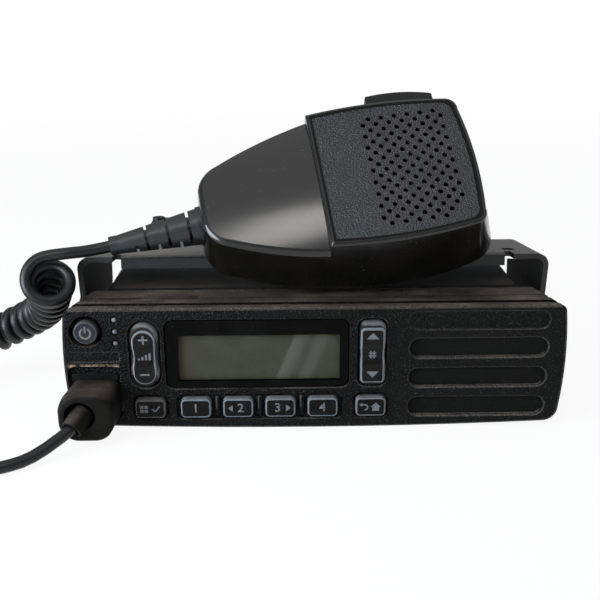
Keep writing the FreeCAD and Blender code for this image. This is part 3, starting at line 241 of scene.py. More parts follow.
def headPlastic():
    # the head's coarse grain with painted glint specks, rubbed paler along its front top edge; pale lines
    # round its openings, part wear and part painted highlight; painted highlights on the posts between the
    # keys
    finish = moulded("headPlastic", 12, 0.32, blotch=2, specular=0.085, grain=0.72, depth=0.6, paintedGlints=0.5,
                     dust=0.95, dustLevel=104)
    x, y, z = finish.axes()
    base = Wire(finish, finish.shader.inputs["Base Color"].links[0].from_socket)
    shallow, deep = (reach * mm for reach in headWearAndHighlight["depth"])
    nearFace = 1.0 - (y - faceY * mm).between(shallow, deep)
    chips = finish.noise(0.6, 3.0, 0.7).between(0.45, 0.60)
    upper = (z - headWearAndHighlight["topEdge"] * mm).between(0.0, headWearAndHighlight["topWidth"] * mm)
    wearAndHighlight = upper * chips * headWearAndHighlight["topWear"]
    # pale lines round the openings: part wear, part painted highlight where their edges catch light
    for name, shapes in rims.items():
        for shape in shapes:
            edge = finish.reach(shape).line(-0.2 * mm, 0.05 * mm, 0.4 * mm)
            wearAndHighlight = wearAndHighlight.most(edge * rimWearAndHighlight[name] * (0.45 + chips * 0.55))
    # painted highlight down each post between the keys
    for shape in headWearAndHighlight["dividers"]:
        dividerGleam = (0.0 - finish.reach(shape)).between(0.0, 0.3 * mm)
        wearAndHighlight = wearAndHighlight.most(dividerGleam * headWearAndHighlight["dividerHighlight"])
    soil = finish.noise(3.0, 4.0, 0.6).between(0.35, 0.6)
    near, far = (end * mm for end in headWearAndHighlight["ledgeEnds"])
    within = 1.0 - abs(x - headWearAndHighlight["ledgeX"] * mm).between(near, far)
    ledge = z.line(headWearAndHighlight["ledgeZ"] * mm, 0.2 * mm, 0.8 * mm) * within * soil
    colour = finish.mix((wearAndHighlight * nearFace).least(1.0), base, grey(92, 1))
    colour = finish.mix(ledge * nearFace * headWearAndHighlight["ledgeDust"], colour, grey(132, 14))
    return finish.feed(Base_Color=colour)


def keyShade(name, shape, rim, shellLevel, shellWarm=-4, faceLevel=19, faceWarm=1.0, waist=0.0, gloss=0.0):
    # translucent grey cap, its front dark inside an even rim
    finish = Finish(name, Specular_IOR_Level=0.06, Coat_Roughness=0.15)
    centreX, centreZ, halfWide, halfHigh, corner = shape
    reach = finish.reach((centreX, centreZ, halfWide - rim, halfHigh - rim, max(corner - rim, 0.3)))
    if waist:
        x, y, z = finish.axes()
        along = z - centreZ * mm
        pinch = ((sideBend * mm) ** 2 - along * along).most(0.0).root()
        squeeze = (pinch - (sideBend - waist) * mm).most(0.0)
        reach = reach.most(abs(x - centreX * mm) - (halfWide - rim) * mm + squeeze)
    front = (0.0 - finish.slope(1)).between(0.35, 0.6)
    soft = 0.06 * mm
    dark = (1.0 - reach.between(-soft, soft)) * front
    haze = finish.noise(2.2, 3.0, 0.6)
    grime = finish.noise(0.9, 3.0, 0.7).between(0.55, 0.8)
    darkShell, paleShell = (grey(shellLevel + step, shellWarm) for step in (-7, 7))
    shell = finish.mix(haze.between(0.3, 0.7), darkShell, paleShell)
    shell = finish.mix(grime * 0.35, shell, grey(74, 5))
    darkFace, paleFace = (grey(faceLevel + step, faceWarm) for step in (-4, 4))
    face = finish.mix(haze.between(0.35, 0.75), darkFace, paleFace)
    finish.feed(Base_Color=finish.mix(dark, shell, face), Roughness=0.42 - dark * 0.12)
    if gloss:
        finish.feed(Coat_Weight=dark * gloss)
    return finish.feed(Normal=finish.bump(1.0 - dark, 0.06))


def flankPaintedShade():
    # the rockers' flanks: their own pale grey where they face up or right, painted shade where they face
    # left or down, as in a shadowed gap
    finish = Finish("rockerFlankPaintedShade", Specular_IOR_Level=0.1)
    # painted light and shade by facing: up and right keep the pale grey, left and down go dark
    paintedLit = (finish.slope(2) * 0.9 + finish.slope(0) * 0.6).between(-0.1, 0.6)
    haze = finish.noise(1.2, 3.0, 0.6)
    tone = finish.mix(haze.between(0.3, 0.7), (0.105, 0.108, 0.105, 1), (0.140, 0.146, 0.146, 1))
    return finish.feed(Base_Color=finish.mix(paintedLit, grey(17), tone), Roughness=0.45 + haze * 0.1)


display = {"x": -19.0, "z": 25.8, "halfWide": 27.2, "halfHigh": 8.15, "lean": 0.42, "reflectionStreak": 8.5,
           "reflectionBand": 18.5, "amberEnd": (16.0, 29.0)}


def windowGlass():
    # clear window, printed black round the display
    finish = Finish("windowGlass", Specular_IOR_Level=0.035)
    opening = (display["x"], display["z"], display["halfWide"], display["halfHigh"], 0.2)
    clear = 1.0 - finish.reach(opening).between(-0.05 * mm, 0.1 * mm)
    specks = finish.noise(0.7, 2.0, 0.6).between(0.70, 0.80)
    smear = finish.noise(16.0, 4.0, 0.6)
    haze = smear.between(0.45, 0.8)
    colour = finish.mix(haze * 0.5, (0.002, 0.002, 0.002, 1), (0.010, 0.010, 0.010, 1))
    return finish.feed(Base_Color=finish.mix(specks * 0.35, colour, grey(95, 2)), Alpha=1.0 - clear * 0.86,
                       Roughness=0.10 + smear * 0.15)


def displayGlass():
    # the switched-off display: mottled olive, with two soft paler streaks that are a painted reflection, and
    # darker along its edges, most along the top
    finish = Finish("displayGlass", Specular_IOR_Level=0.1)
    x, y, z = finish.axes()
    across = x - display["x"] * mm
    lift = z - display["z"] * mm
    cloud = finish.noise(7.0, 4.0, 0.6)
    mottle = finish.noise(0.9, 3.0, 0.7)
    tone = finish.mix(cloud.between(0.3, 0.7), (0.068, 0.068, 0.048, 1), (0.084, 0.092, 0.067, 1))
    tone = finish.mix(mottle.between(0.35, 0.65) * 0.5, tone, (0.076, 0.088, 0.057, 1))
    inner, outer = (place * mm for place in display["amberEnd"])
    tone = finish.mix((0.0 - across).between(inner, outer) * 0.6, tone, (0.096, 0.076, 0.055, 1))
    # painted reflection: two soft pale streaks leaning across the display
    lean = across - lift * display["lean"]
    past = lean - display["reflectionStreak"] * mm
    reflectionStreak = past.between(-0.2 * mm, 1.2 * mm) * (1.0 - past.between(1.5 * mm, 7.5 * mm))
    reflectionBand = lean.line(display["reflectionBand"] * mm, 0.5 * mm, 4.0 * mm)
    tone = finish.mix((reflectionStreak * 0.9).most(reflectionBand * 0.6), tone, (0.155, 0.160, 0.130, 1))
    # darker along the display's edges, most along the top
    shade = finish.reach((display["x"], display["z"] - 0.35, display["halfWide"], display["halfHigh"], 0.4))
    tone = finish.mix(shade.between(-0.6 * mm, 0.3 * mm) * 0.5, tone, (0.030, 0.030, 0.024, 1))
    return finish.feed(Base_Color=tone, Roughness=0.5 + cloud * 0.1)


def metal(name, colour, rough):
    # brushed metal, darker in soft clouds
    finish = Finish(name, Metallic=1.0)
    grain = finish.noise(0.6, 4.0, 0.7)
    cloud = finish.noise(6.0, 3.0, 0.5)
    darker = tuple(part * 0.72 for part in colour[:3]) + (1,)
    finish.feed(Base_Color=finish.mix(cloud, colour, darker), Roughness=rough + (grain - 0.5) * 0.2)
    return finish.feed(Normal=finish.bump(grain, 0.03))


def clothWeave():
    # black dust cloth, woven at 0.7 mm
    finish = Finish("speakerCloth", Specular_IOR_Level=0.15)
    x, y, z = finish.axes()
    turns = math.tau / (0.7 * mm)
    threads = (x * turns).maths("SINE") * (z * turns).maths("SINE")
    fluff = finish.noise(1.0, 3.0, 0.6)
    tone = finish.mix(threads.between(-0.8, 0.8), grey(8), grey(20))
    colour = finish.mix(fluff.between(0.62, 0.75) * 0.35, tone, grey(88, 4))
    return finish.feed(Base_Color=colour, Roughness=0.8 + fluff * 0.2, Normal=finish.bump(threads, 0.08))


def micGloss():
    # polished shell: glossy neck and sides, its flat rim round the grille duller
    finish = Finish("micShell", Specular_IOR_Level=0.06, Coat_Roughness=0.19)
    flat = max(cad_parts["mic_face_inlay"].data.polygons, key=lambda side: side.area).normal
    facing = sum(finish.slope(axis) * flat[axis] for axis in range(3))
    rim = facing.between(0.990, 0.998)
    cloud = finish.noise(14.0, 4.0, 0.6)
    fluff = finish.noise(1.1, 2.0, 0.8).between(0.68, 0.76)
    tone = finish.mix(cloud.between(0.3, 0.7), grey(5, 1), grey(8, 1))
    finish.feed(Base_Color=finish.mix(fluff * 0.25, tone, grey(110, 2)), Roughness=0.4 + cloud * 0.1)
    return finish.feed(Coat_Weight=1.0 - rim * 0.85)


def boardGreen():
    # solder green with slanting tracks
    finish = Finish("circuitBoard", Specular_IOR_Level=0.5)
    x, y, z = finish.axes()
    rising = ((x + y) * 900.0).maths("FRACT").between(0.42, 0.5)
    falling = ((x - z) * 700.0).maths("FRACT").between(0.3, 0.4)
    tracks = rising * falling
    cloud = finish.noise(4.0, 3.0, 0.5)
    tone = finish.mix(cloud, (0.008, 0.055, 0.022, 1), (0.014, 0.085, 0.030, 1))
    colour = finish.mix(tracks * 0.6, tone, (0.05, 0.16, 0.06, 1))
    return finish.feed(Base_Color=colour, Roughness=0.35 + cloud * 0.2)


def rubber(name, level, rough, warm=0.0, specular=0.4):
    # matt black rubber with a fine skin
    finish = Finish(name, Specular_IOR_Level=specular)
    cloud = finish.noise(8.0, 4.0, 0.6)
    fine = finish.noise(0.5, 2.0, 0.5)
    tone = finish.mix(cloud.between(0.3, 0.7), grey(level - 3, warm), grey(level + 3, warm))
    return finish.feed(Base_Color=tone, Roughness=rough + (cloud - 0.5) * 0.15,
                       Normal=finish.bump(fine, 0.06))


finishes = {
    "head": headPlastic(),
    "window": windowGlass(),
    "display": displayGlass(),
    "whitePlastic": moulded("whitePlastic", 205, 0.5, specular=0.4),
    "lens": moulded("lampLens", 104, 0.3, warm=-3, blotch=12, specular=0.3),
    "mat": moulded("softMat", 60, 0.75),
    "board": boardGreen(),
    "cloth": clothWeave(),
    "speaker": moulded("speakerFrame", 50, 0.45),
    "socket": moulded("socketPlastic", 18, 0.42),
    "cast": moulded("castBody", 20, 0.5, specular=0.15, grain=1.0, depth=0.25, dust=0.6, dustLevel=84),
    "lid": moulded("lidPaint", 18, 0.42, grain=0.6, depth=0.12, dust=0.7, dustLevel=78, lint=0.15),
    "steel": metal("screwSteel", (0.33, 0.33, 0.34, 1), 0.38),
    "blackScrew": metal("blackScrew", (0.045, 0.045, 0.048, 1), 0.5),
    "shield": metal("shieldTin", (0.62, 0.62, 0.60, 1), 0.35),
    "amplifier": metal("amplifierMetal", (0.50, 0.49, 0.46, 1), 0.4),
    "connector": metal("connectorNickel", (0.58, 0.55, 0.48, 1), 0.28),
    "bracket": moulded("bracketPaint", 22, 0.38, grain=0.9, depth=0.10, dust=1.0, dustLevel=116,
                       specular=0.5),
    "knob": moulded("knobPlastic", 20, 0.5, dust=0.3),
    "mic": micGloss(),
    # the inlay and the talk bar carry painted glint specks as highlights
    "inlay": moulded("micInlay", 33, 0.34, warm=-1, specular=0.55, grain=0.62, depth=0.5, paintedGlints=1.0),
    "talk": moulded("talkBar", 30, 0.55, specular=0.2, grain=0.6, depth=0.12, paintedGlints=0.2),
    "relief": rubber("reliefRubber", 24, 0.4, warm=-1.5, specular=0.5),
    "paintedFlankShade": flankPaintedShade(),
    "cord": rubber("cordRubber", 15, 0.36, warm=-1, specular=0.35),
    "boot": moulded("bootRubber", 18, 0.5, warm=1.5, blotch=2, specular=0.06, dust=0.55, dustLevel=88,
                    lint=0.1),
    "plug": moulded("plugPlastic", 120, 0.3, coat=0.3),
    "legend": moulded("legendPaint", 102, 0.5, warm=-2, blotch=6, specular=0.1),
    "smooth": moulded("smoothBlack", 20, 0.35, specular=0.1, lint=0.15),
}


def dress(finish, *names):
    # gives a CAD node its finish in its own material slots
    for name in names:
        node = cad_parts[name]
        if not node.material_slots:
            node.data.materials.append(finish.material)
        for place in node.material_slots:
            place.material = finish.material


finishOf = {
    "head": ["front_bezel"],
    "window": ["display_lens"],
    "display": ["lcd_panel"],
    "whitePlastic": ["backlight_frame"],
    "lens": ["status_lenses"],
    "mat": ["keypad_membrane", "cover_gasket"],
    "board": ["control_board", "main_board", "mic_board"],
    "cloth": ["speaker_cloth"],
    "speaker": ["speaker"],
    "socket": ["mic_jack", "power_connector", "accessory_connector", "ptt_switch"],
    "cast": ["chassis"],
    "lid": ["top_cover"],
    "blackScrew": ["cover_screws"],
    "steel": ["bracket_washers", "mic_screws", "mic_hang_stud"],
    "shield": ["rf_shield", "mic_element"],
    "amplifier": ["power_amplifier"],
    "connector": ["antenna_connector"],
    "bracket": ["mounting_bracket"],
    "knob": ["left_bracket_screw", "right_bracket_screw"],
    "mic": ["mic_front_shell", "mic_back_shell"],
    "inlay": ["mic_face_inlay"],
    "talk": ["ptt_button"],
    "relief": ["mic_strain_relief"],
    "boot": ["plug_boot"],
    "plug": ["modular_plug"],
}
for kind, names in finishOf.items():
    dress(finishes[kind], *names)
print("finishes made and given to the nodes")


# Mesh helpers
def piece(name, mesh, finish, body):
    # puts a finished bmesh in the scene on its body
    bmesh.ops.recalc_face_normals(mesh, faces=mesh.faces)
    data = bpy.data.meshes.new(name)
    mesh.to_mesh(data)
    mesh.free()
    data.materials.append(finish.material)
    made = bpy.data.objects.new(name, data)
    bpy.context.scene.collection.objects.link(made)
    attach(made, body)
    return made


def placeFlat(mesh, verts, x, z, wide, high, y, turn=0.0):
    # from the XY plane to the face's plane at x, z
    stand = Matrix.Rotation(math.pi / 2, 4, "X")
    moved = (Matrix.Translation(at(x, y, z)) @ stand @ Matrix.Rotation(turn, 4, "Z")
             @ Matrix.Diagonal((wide * mm, high * mm, 1, 1)))
    bmesh.ops.transform(mesh, matrix=moved, verts=verts)


def thicken(mesh, faces, depth=0.15):
    # pulls flat faces back into a thin plate
    grown = bmesh.ops.extrude_face_region(mesh, geom=faces)
    pulled = [part for part in grown["geom"] if isinstance(part, bmesh.types.BMVert)]
    bmesh.ops.translate(mesh, vec=(0, depth * mm, 0), verts=pulled)


def facesOf(verts):
    return list({face for vert in verts for face in vert.link_faces})


def addBar(mesh, x, z, wide, high, y, turn=0.0):
    # a flat printed bar
    made = bmesh.ops.create_grid(mesh, x_segments=1, y_segments=1, size=0.5)
    placeFlat(mesh, made["verts"], x, z, wide, high, y, turn)
    thicken(mesh, facesOf(made["verts"]))


def addTriangle(mesh, x, z, wide, high, y, turn=0.0):
    # a triangle whose point is up before it turns, out of a circle of diameter 1
    across, tall = 0.866, 0.75
    made = bmesh.ops.create_circle(mesh, cap_ends=True, segments=3, radius=0.5)
    placeFlat(mesh, made["verts"], x, z, wide / across, high / tall, y, turn)
    thicken(mesh, facesOf(made["verts"]))


def addArc(mesh, x, z, radius, width, start, sweep, y, steps):
    # a printed arc: a short radial edge spun about its centre
    centre = at(x, y, z)
    way = Vector((math.cos(math.radians(start)), 0, math.sin(math.radians(start))))
    ends = [mesh.verts.new(centre + way * (radius + side * width / 2) * mm) for side in (-1, 1)]
    edge = mesh.edges.new(ends)
    before = set(mesh.faces)
    bmesh.ops.spin(mesh, geom=ends + [edge], cent=centre, axis=(0, -1, 0), angle=math.radians(sweep),
                   steps=steps, use_merge=abs(sweep) >= 360)
    thicken(mesh, [face for face in mesh.faces if face not in before])


def addText(mesh, words, x, z, height, y, bold):
    # plain numbers or signs, as a mesh
    curve = bpy.data.curves.new("words", "FONT")
    curve.body = words
    curve.align_x = "CENTER"
    curve.align_y = "CENTER"
    curve.resolution_u = 4
    curve.offset = bold
    holder = bpy.data.objects.new("words", curve)
    bpy.context.scene.collection.objects.link(holder)
    flat = bpy.data.meshes.new_from_object(holder.evaluated_get(bpy.context.evaluated_depsgraph_get()))
    before = set(mesh.verts)
    mesh.from_mesh(flat)
    verts = [vert for vert in mesh.verts if vert not in before]
    share = 0.70      # height of the figures in the font's own size
    size = height / share
    placeFlat(mesh, verts, x, z, size, size, y)
    thicken(mesh, facesOf(verts))
    bpy.data.objects.remove(holder)


def addPlate(mesh, x, z, wide, high, corner, y, depth, edge):
    # a rounded plate: a cube whose upright edges and front rim are bevelled
    verts = bmesh.ops.create_cube(mesh, size=1.0)["verts"]
    bmesh.ops.transform(mesh, matrix=Matrix.Diagonal((wide * mm, depth * mm, high * mm, 1)), verts=verts)
    bmesh.ops.translate(mesh, vec=at(x, y + depth / 2, z), verts=verts)
    edges = list({side for vert in verts for side in vert.link_edges})
    upright = [side for side in edges if abs(side.verts[0].co.y - side.verts[1].co.y) > depth * mm * 0.5]
    bmesh.ops.bevel(mesh, geom=upright, offset=corner * mm, offset_type="OFFSET", segments=6, profile=0.5,
                    affect="EDGES", material=-1)
    frontY = at(0, y, 0).y
    front = [side for side in mesh.edges if all(abs(vert.co.y - frontY) < 1e-7 for vert in side.verts)]
    bmesh.ops.bevel(mesh, geom=front, offset=edge * mm, offset_type="OFFSET", segments=2, profile=0.5,
                    affect="EDGES", material=-1)


# Keys and their signs
keys = {
    "z": 8.3, "halfWide": 5.1, "halfHigh": 3.4, "rim": 0.55, "corner": 1.6, "front": -1.5, "print": 0.03,
    "places": {"menu_button": -56.1, "key_1": -40.7, "key_2": -26.35, "key_3": -12.0, "key_4": 2.35,
               "back_button": 18.7},
    "bodies": {"menu_button": "menu", "key_1": "preset_1", "key_2": "preset_2", "key_3": "preset_3",
               "key_4": "preset_4", "back_button": "back"},
    "shells": {"menu_button": (76, 2), "back_button": (104, -1)}, "plainShell": (108, -4),
}
# each sign in millimetres from the middle of its key
menuSign = {"columns": (-2.95, -1.45), "rows": (-0.75, 0.75), "square": 1.15, "line": 0.5,
            "tick": [(1.05, -0.45, 1.5, -0.8), (2.35, 0.05, 2.6, 0.9)]}
backSign = {"arc": (-2.0, -0.1), "radius": 0.95, "line": 0.45, "start": -95, "sweep": 185, "tailX": -2.5,
            "tailZ": 0.85, "tail": 1.0, "headX": -3.2, "head": (1.5, 1.0), "houseX": 1.7, "roofZ": 0.55,
            "roof": (3.5, 1.6), "wallZ": -0.75, "wall": (2.3, 1.4)}
numberSign = {"high": 3.1, "bold": 0.02, "shifts": {"2": 0.9, "3": -0.9}, "arrowX": 2.4,
              "arrow": (2.5, 1.6)}


def drawMenu(sign, x, z, y):
    # four squares and a tick
    for dx in menuSign["columns"]:
        for dz in menuSign["rows"]:
            addBar(sign, x + dx, z + dz, menuSign["square"], menuSign["square"], y)
    for dx, dz, length, turn in menuSign["tick"]:
        addBar(sign, x + dx, z + dz, length, menuSign["line"], y, turn=turn)


def drawBack(sign, x, z, y):
    # a returning arrow and a house
    arcX, arcZ = backSign["arc"]
    addArc(sign, x + arcX, z + arcZ, backSign["radius"], backSign["line"], backSign["start"],
           backSign["sweep"], y, 12)
    addBar(sign, x + backSign["tailX"], z + backSign["tailZ"], backSign["tail"], backSign["line"], y)
    addTriangle(sign, x + backSign["headX"], z + backSign["tailZ"], *backSign["head"], y, turn=math.pi / 2)
    addTriangle(sign, x + backSign["houseX"], z + backSign["roofZ"], *backSign["roof"], y)
    addBar(sign, x + backSign["houseX"], z + backSign["wallZ"], *backSign["wall"], y)


def drawNumber(sign, number, x, z, y):
    # a plain number, the middle two with an arrow beside it
    shift = numberSign["shifts"].get(number, 0.0)
    addText(sign, number, x + shift, z, numberSign["high"], y, numberSign["bold"])
    if shift:
        side = -1 if shift > 0 else 1
        turn = -side * math.pi / 2
        addTriangle(sign, x + side * numberSign["arrowX"], z, *numberSign["arrow"], y, turn=turn)


for name, x in keys["places"].items():
    shape = (x, keys["z"], keys["halfWide"], keys["halfHigh"], keys["corner"])
    level, warm = keys["shells"].get(name, keys["plainShell"])
    dress(keyShade("cap_" + name, shape, keys["rim"], level, warm), name)
    sign = bmesh.new()
    y, z = keys["front"] - keys["print"], keys["z"]
    if name == "menu_button":
        drawMenu(sign, x, z, y)
    elif name == "back_button":
        drawBack(sign, x, z, y)
    else:
        drawNumber(sign, name[-1], x, z, y)
    piece("legend_" + name, sign, finishes["legend"], keys["bodies"][name])

# Rockers: a raised cap with a hollow across its middle, and its signs
rockers = {
    "volume_rocker": {"shape": (-57.2, 27.2, 4.0, 9.9, 3.95), "rim": 0.6, "waist": 0.25, "body": "volume"},
    "channel_rocker": {"shape": (19.0, 27.2, 4.1, 10.1, 1.6), "rim": 0.66, "waist": 0.05, "body": "channel"},
}
cap = {"front": -1.68, "back": -0.3, "hollow": 3.25, "sag": 0.85, "edge": 0.5, "print": 0.03,
       "printDropForHighlight": 0.3, "cut": 0.45, "cuts": 22, "cutShift": 0.01, "cross": 0.01, "gloss": 0.1,
       "shell": 112}
volumeSign = {"end": 6.2, "plus": 3.1, "line": 0.62, "minus": 0.55, "bars": 4, "firstX": -1.8, "pitch": 1.2,
              "foot": -1.2, "bar": 0.7, "rise": 0.6}
channelSign = {"end": 6.5, "arrow": (4.1, 2.2), "line": 0.42, "apart": 0.55, "lineGap": 0.5, "upright": 2.7,
               "level": 2.5}


def layOn(mesh, settings, waist=0.0):
    # cuts a flat piece across in even steps, then bends it to the cap's hollow and waist
    centreX, centreZ = settings["shape"][:2]
    for step in range(-cap["cuts"], cap["cuts"] + 1):
        level = at(0, 0, centreZ + step * cap["cut"] + cap["cutShift"])
        bmesh.ops.bisect_plane(mesh, geom=mesh.verts[:] + mesh.edges[:] + mesh.faces[:], plane_co=level,
                               plane_no=(0, 0, 1))
    radius = (cap["hollow"] ** 2 + cap["sag"] ** 2) / (2 * cap["sag"])
    for vert in mesh.verts:
        away = vert.co.z / mm - centreZ
        if abs(away) < cap["hollow"] and vert.co.y / mm - faceY < cap["front"] + cap["edge"]:
            sunk = math.sqrt(radius ** 2 - away ** 2) - radius + cap["sag"]
            vert.co.y += sunk * mm
        pinch = max(math.sqrt(sideBend ** 2 - away ** 2) - sideBend + waist, 0.0)
        side = vert.co.x / mm - centreX
        vert.co.x = (centreX + side * (1 - pinch / settings["shape"][2])) * mm


def drawVolume(sign, x, z, y):
    # plus, minus and rising bars, the plus's upright a hair in front
    plus, line, end = volumeSign["plus"], volumeSign["line"], volumeSign["end"]
    addBar(sign, x, z + end, plus, line, y)
    addBar(sign, x, z + end, line, plus, y - cap["cross"])
    addBar(sign, x, z - end, plus, volumeSign["minus"], y)
    for step in range(volumeSign["bars"]):
        tall = volumeSign["rise"] * (step + 1)
        place = x + volumeSign["firstX"] + step * volumeSign["pitch"]
        addBar(sign, place, z + volumeSign["foot"] + tall / 2, volumeSign["bar"], tall, y)


def drawChannel(sign, x, z, y):
    # up, down and a number sign of four bars
    addTriangle(sign, x, z + channelSign["end"], *channelSign["arrow"], y)
    addTriangle(sign, x, z - channelSign["end"], *channelSign["arrow"], y, turn=math.pi)
    for side in (-1, 1):
        addBar(sign, x + side * channelSign["apart"], z, channelSign["line"], channelSign["upright"], y)
    for side in (1, -1):
        addBar(sign, x, z + side * channelSign["lineGap"], channelSign["level"], channelSign["line"],
               y - cap["cross"])


for name, size in rockers.items():
    x, z, wide, high, corner = size["shape"]
    dress(finishes["paintedFlankShade"], name)
    plate = bmesh.new()
    addPlate(plate, x, z, wide * 2, high * 2, corner, cap["front"], cap["back"] - cap["front"], cap["edge"])
    layOn(plate, size, size["waist"])
    # the dark print sits a little low on the cap, so the pale rim left wider at its top is a painted
    # highlight of light catching the top edge
    printed = (x, z - cap["printDropForHighlight"], wide, high - cap["printDropForHighlight"], corner)
    shade = keyShade("cap_" + name, printed, size["rim"], cap["shell"], waist=size["waist"],
                     gloss=cap["gloss"])
    piece("cap_" + name, plate, shade, size["body"])
    sign = bmesh.new()
    draw = drawVolume if name == "volume_rocker" else drawChannel
    draw(sign, x, z, cap["front"] - cap["print"])
    layOn(sign, size)
    piece("legend_" + name, sign, finishes["legend"], size["body"])

# Power button and its sign
power = {"x": -76.2, "z": 35.8, "radius": 3.95, "rim": 0.55, "front": -1.0, "face": 42, "shell": 70,
         "arc": 1.75, "arcDrop": 0.15, "line": 0.6, "start": 118, "sweep": 304, "bar": 2.2, "barRise": 1.15}
shape = (power["x"], power["z"], power["radius"], power["radius"], power["radius"])
shade = keyShade("cap_power_button", shape, power["rim"], power["shell"], faceLevel=power["face"],
                 faceWarm=-4.0)
dress(shade, "power_button")
sign = bmesh.new()
y = power["front"] - keys["print"]
addArc(sign, power["x"], power["z"] - power["arcDrop"], power["arc"], power["line"], power["start"],
       power["sweep"], y, 28)
addBar(sign, power["x"], power["z"] + power["barRise"], power["line"], power["bar"], y)
piece("legend_power_button", sign, finishes["legend"], "power")

# The bare strip over the jack
jackStrip = {"x": -74.6, "z": 19.2, "wide": 15.6, "high": 2.6, "corner": 0.7, "front": 0.85, "thick": 0.65,
             "edge": 0.15}
strip = bmesh.new()
addPlate(strip, jackStrip["x"], jackStrip["z"], jackStrip["wide"], jackStrip["high"], jackStrip["corner"],
         jackStrip["front"], jackStrip["thick"], jackStrip["edge"])
piece("jack_strip", strip, finishes["smooth"], "radio")
print("keys, rockers and signs made")


# The microphone's cord
cord = {
    "start": [(-69.189, 15.890, 60.892), (-76.476, 14.702, 59.572), (-82.300, 11.700, 59.800)],
    "axis": [(-88.6, 7.0, 52.2), (-90.0, 13.0, 48.5), (-91.8, 19.0, 43.2), (-94.3, 25.0, 38.3),
             (-97.2, 30.6, 34.2), (-101.4, 35.4, 30.4), (-107.0, 38.8, 26.8), (-113.4, 40.8, 23.4),
             (-121.0, 41.4, 19.6), (-130.4, 40.6, 15.8), (-140.6, 37.2, 12.4), (-149.8, 30.4, 9.8),
             (-156.8, 20.4, 8.2), (-161.0, 8.2, 7.5), (-162.2, -5.0, 7.5), (-161.2, -18.0, 7.5)],
    "end": [(-157.190, -18.244, 12.486), (-148.600, -18.573, 12.459), (-139.4, -20.6, 10.6),
            (-130.4, -26.0, 7.4), (-120.6, -31.2, 4.3), (-109.6, -32.8, 2.3), (-98.4, -30.6, 2.3),
            (-88.0, -23.4, 3.0), (-78.100, -12.925, 8.762)],
    "diameter": 4.0, "length": 978.0, "radius": 5.0, "firstRadius": 7.9, "turns": 26,
    "loosening": 3.0 * math.pi, "perTurn": 16, "cut": 0.981,
}


def openCurve(name, points, resolution):
    # one open NURBS spline with these control points
    curve = bpy.data.curves.new(name, "CURVE")
    curve.dimensions = "3D"
    spline = curve.splines.new("NURBS")
    spline.points.add(len(points) - 1)
    for knot, point in zip(spline.points, points):
        knot.co = (*point, 1.0)
    spline.order_u = 3
    spline.use_endpoint_u = True
    spline.resolution_u = resolution
    curve.resolution_u = resolution
    made = bpy.data.objects.new(name, curve)
    bpy.context.scene.collection.objects.link(made)
    return made


def linePoints(points):
    # the smooth line's own points
    holder = openCurve("axis", points, 24)
    mesh = bpy.data.meshes.new_from_object(holder.evaluated_get(bpy.context.evaluated_depsgraph_get()))
    found = [vert.co.copy() for vert in mesh.vertices]
    bpy.data.objects.remove(holder)
    return found


def curls(settings):
    # control points of the curls, wound round their axis
    axis = linePoints([at(*place) for place in settings["axis"]])
    lengths = [0.0]
    for near, far in zip(axis, axis[1:]):
        lengths.append(lengths[-1] + (far - near).length)
    frames = []
    side = Vector((0, 0, 1))
    for n, point in enumerate(axis):
        way = (axis[min(n + 1, len(axis) - 1)] - axis[max(n - 1, 0)]).normalized()
        side = (side - way * side.dot(way)).normalized()
        frames.append((point, side.copy(), way.cross(side)))
    highest = math.atan2(-frames[-1][2].z, frames[-1][1].z)
    sweep = math.tau * settings["turns"] + highest
    count = round(settings["perTurn"] * sweep / math.tau)
    found = []
    span = 0
    for n in range(count + 1):
        share = n / count
        while span < len(lengths) - 2 and lengths[span + 1] < share * lengths[-1]:
            span += 1
        part = (share * lengths[-1] - lengths[span]) / (lengths[span + 1] - lengths[span])
        middle, side, other = (near.lerp(far, part) for near, far in zip(frames[span], frames[span + 1]))
        angle = sweep * share
        radius = settings["radius"]
        radius += (settings["firstRadius"] - radius) * math.exp(-angle / settings["loosening"])
        out = side * math.cos(angle) - other * math.sin(angle)
        found.append(middle + out * (radius * mm / settings["cut"]))
    return found


route = [at(*place) for place in cord["start"]] + curls(cord) + [at(*place) for place in cord["end"]]
micCord = openCurve("mic_cord", route, 4)
micCord.data.bevel_depth = cord["diameter"] / 2 * mm
micCord.data.bevel_resolution = 5
micCord.data.use_fill_caps = True
micCord.data.materials.append(finishes["cord"].material)
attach(micCord, "microphone")
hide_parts("mic_cord_lead", "mic_cord_curls", "plug_cord_lead")
print("cord made,", len(route), "control points")


# Floor, light and camera
stage = {"half": 30.0, "shadowEnd": (0.35, 1.0), "glowNear": 0.9, "skyStrength": 0.4,
         "sky": (0.88, 0.94, 1.0, 1)}
white = (1, 1, 1, 1)


def stageMaterial():
    # white to the camera and in reflections, with a soft shadow near the object
    finish = Finish("paleFloor", Roughness=0.9, Specular_IOR_Level=0.1)
    finish.feed(Base_Color=(0.9, 0.9, 0.9, 1))
    x, y, z = finish.axes()
    farOff = (x * x + y * y).root().between(*stage["shadowEnd"])
    kinds = ("Is Camera Ray", "Is Glossy Ray", "Is Transmission Ray")
    rays = [finish.node("LightPath", out=kind) for kind in kinds]
    glow = finish.node("Emission", values={"Color": white, "Strength": 1.0})
    share = farOff * (1.0 - stage["glowNear"]) + stage["glowNear"]
    seen = rays[0].most(rays[1]).most(rays[2]) * share
    plain = Wire(finish, finish.shader.outputs[0])
    finish.plug(finish.output.inputs[0], finish.node("MixShader", values={0: seen, 1: plain, 2: glow}))
    return finish


floorMesh = bmesh.new()
bmesh.ops.create_grid(floorMesh, x_segments=1, y_segments=1, size=stage["half"])
floorData = bpy.data.meshes.new("floor")
floorMesh.to_mesh(floorData)
floorMesh.free()
floorData.materials.append(stageMaterial().material)
floor = bpy.data.objects.new("floor", floorData)
bpy.context.scene.collection.objects.link(floor)

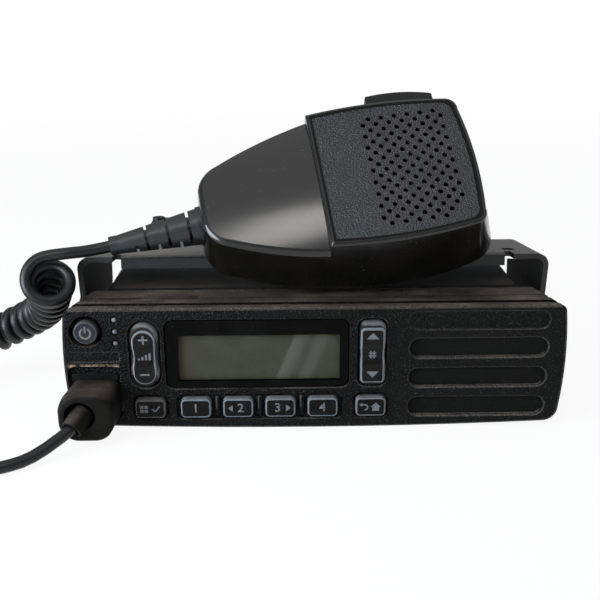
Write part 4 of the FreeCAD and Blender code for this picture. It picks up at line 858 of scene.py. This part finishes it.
world = bpy.data.worlds.new("paleRoom")
bpy.context.scene.world = world
world.use_nodes = True
room = Graph(world.node_tree)
dim = room.node("Background", values={"Color": stage["sky"], "Strength": stage["skyStrength"]})
bright = room.node("Background", values={"Color": white, "Strength": 1.0})
toCamera = room.node("LightPath", out="Is Camera Ray")
throughGlass = room.node("LightPath", out="Is Transmission Ray")
sky = room.node("MixShader", values={0: toCamera.most(throughGlass), 1: dim, 2: bright})
room.plug(room.tree.nodes.new("ShaderNodeOutputWorld").inputs[0], sky)

# place, metres each way, watts and colour of each panel of light
lamps = {
    "frontPanel": {"place": (-0.25, -0.69, 0.82), "size": (0.20, 0.28), "power": 1.6,
                   "colour": (1.0, 0.98, 0.96)},
    "ceilingPanel": {"place": (0.0, -0.20, 1.30), "size": (2.0, 2.0), "power": 8.3,
                     "colour": (1.0, 0.975, 0.95)},
    "windowPanel": {"place": (-0.36, -0.26, 0.14), "size": (0.25, 0.25), "power": 2.4,
                    "colour": (0.88, 0.94, 1.0)},
}
lampAim = Vector((0.0, -0.04, 0.05))
for name, lamp in lamps.items():
    light = bpy.data.lights.new(name, "AREA")
    light.shape = "RECTANGLE"
    light.size, light.size_y = lamp["size"]
    light.energy = lamp["power"]
    light.color = lamp["colour"]
    holder = bpy.data.objects.new(name, light)
    holder.location = lamp["place"]
    aim = lampAim - Vector(lamp["place"])
    holder.rotation_euler = aim.to_track_quat("-Z", "Y").to_euler()
    bpy.context.scene.collection.objects.link(holder)

view = {"place": (-8.55, -280.42, 139.02), "yaw": 0.696, "pitch": 18.284, "roll": 0.318, "lens": 54.0}
cameraData = bpy.data.cameras.new("camera")
cameraData.lens = view["lens"]
cameraData.sensor_width = 36.0
cameraData.clip_start = 0.005
camera = bpy.data.objects.new("camera", cameraData)
yaw = Matrix.Rotation(math.radians(-view["yaw"]), 4, "Z")
pitch = Matrix.Rotation(math.radians(90 - view["pitch"]), 4, "X")
roll = Matrix.Rotation(math.radians(-view["roll"]), 4, "Z")
camera.matrix_world = Matrix.Translation(at(*view["place"])) @ yaw @ pitch @ roll
bpy.context.scene.collection.objects.link(camera)
bpy.context.scene.camera = camera
bpy.context.scene.view_settings.view_transform = "Standard"
print("stage, lamps and camera set")
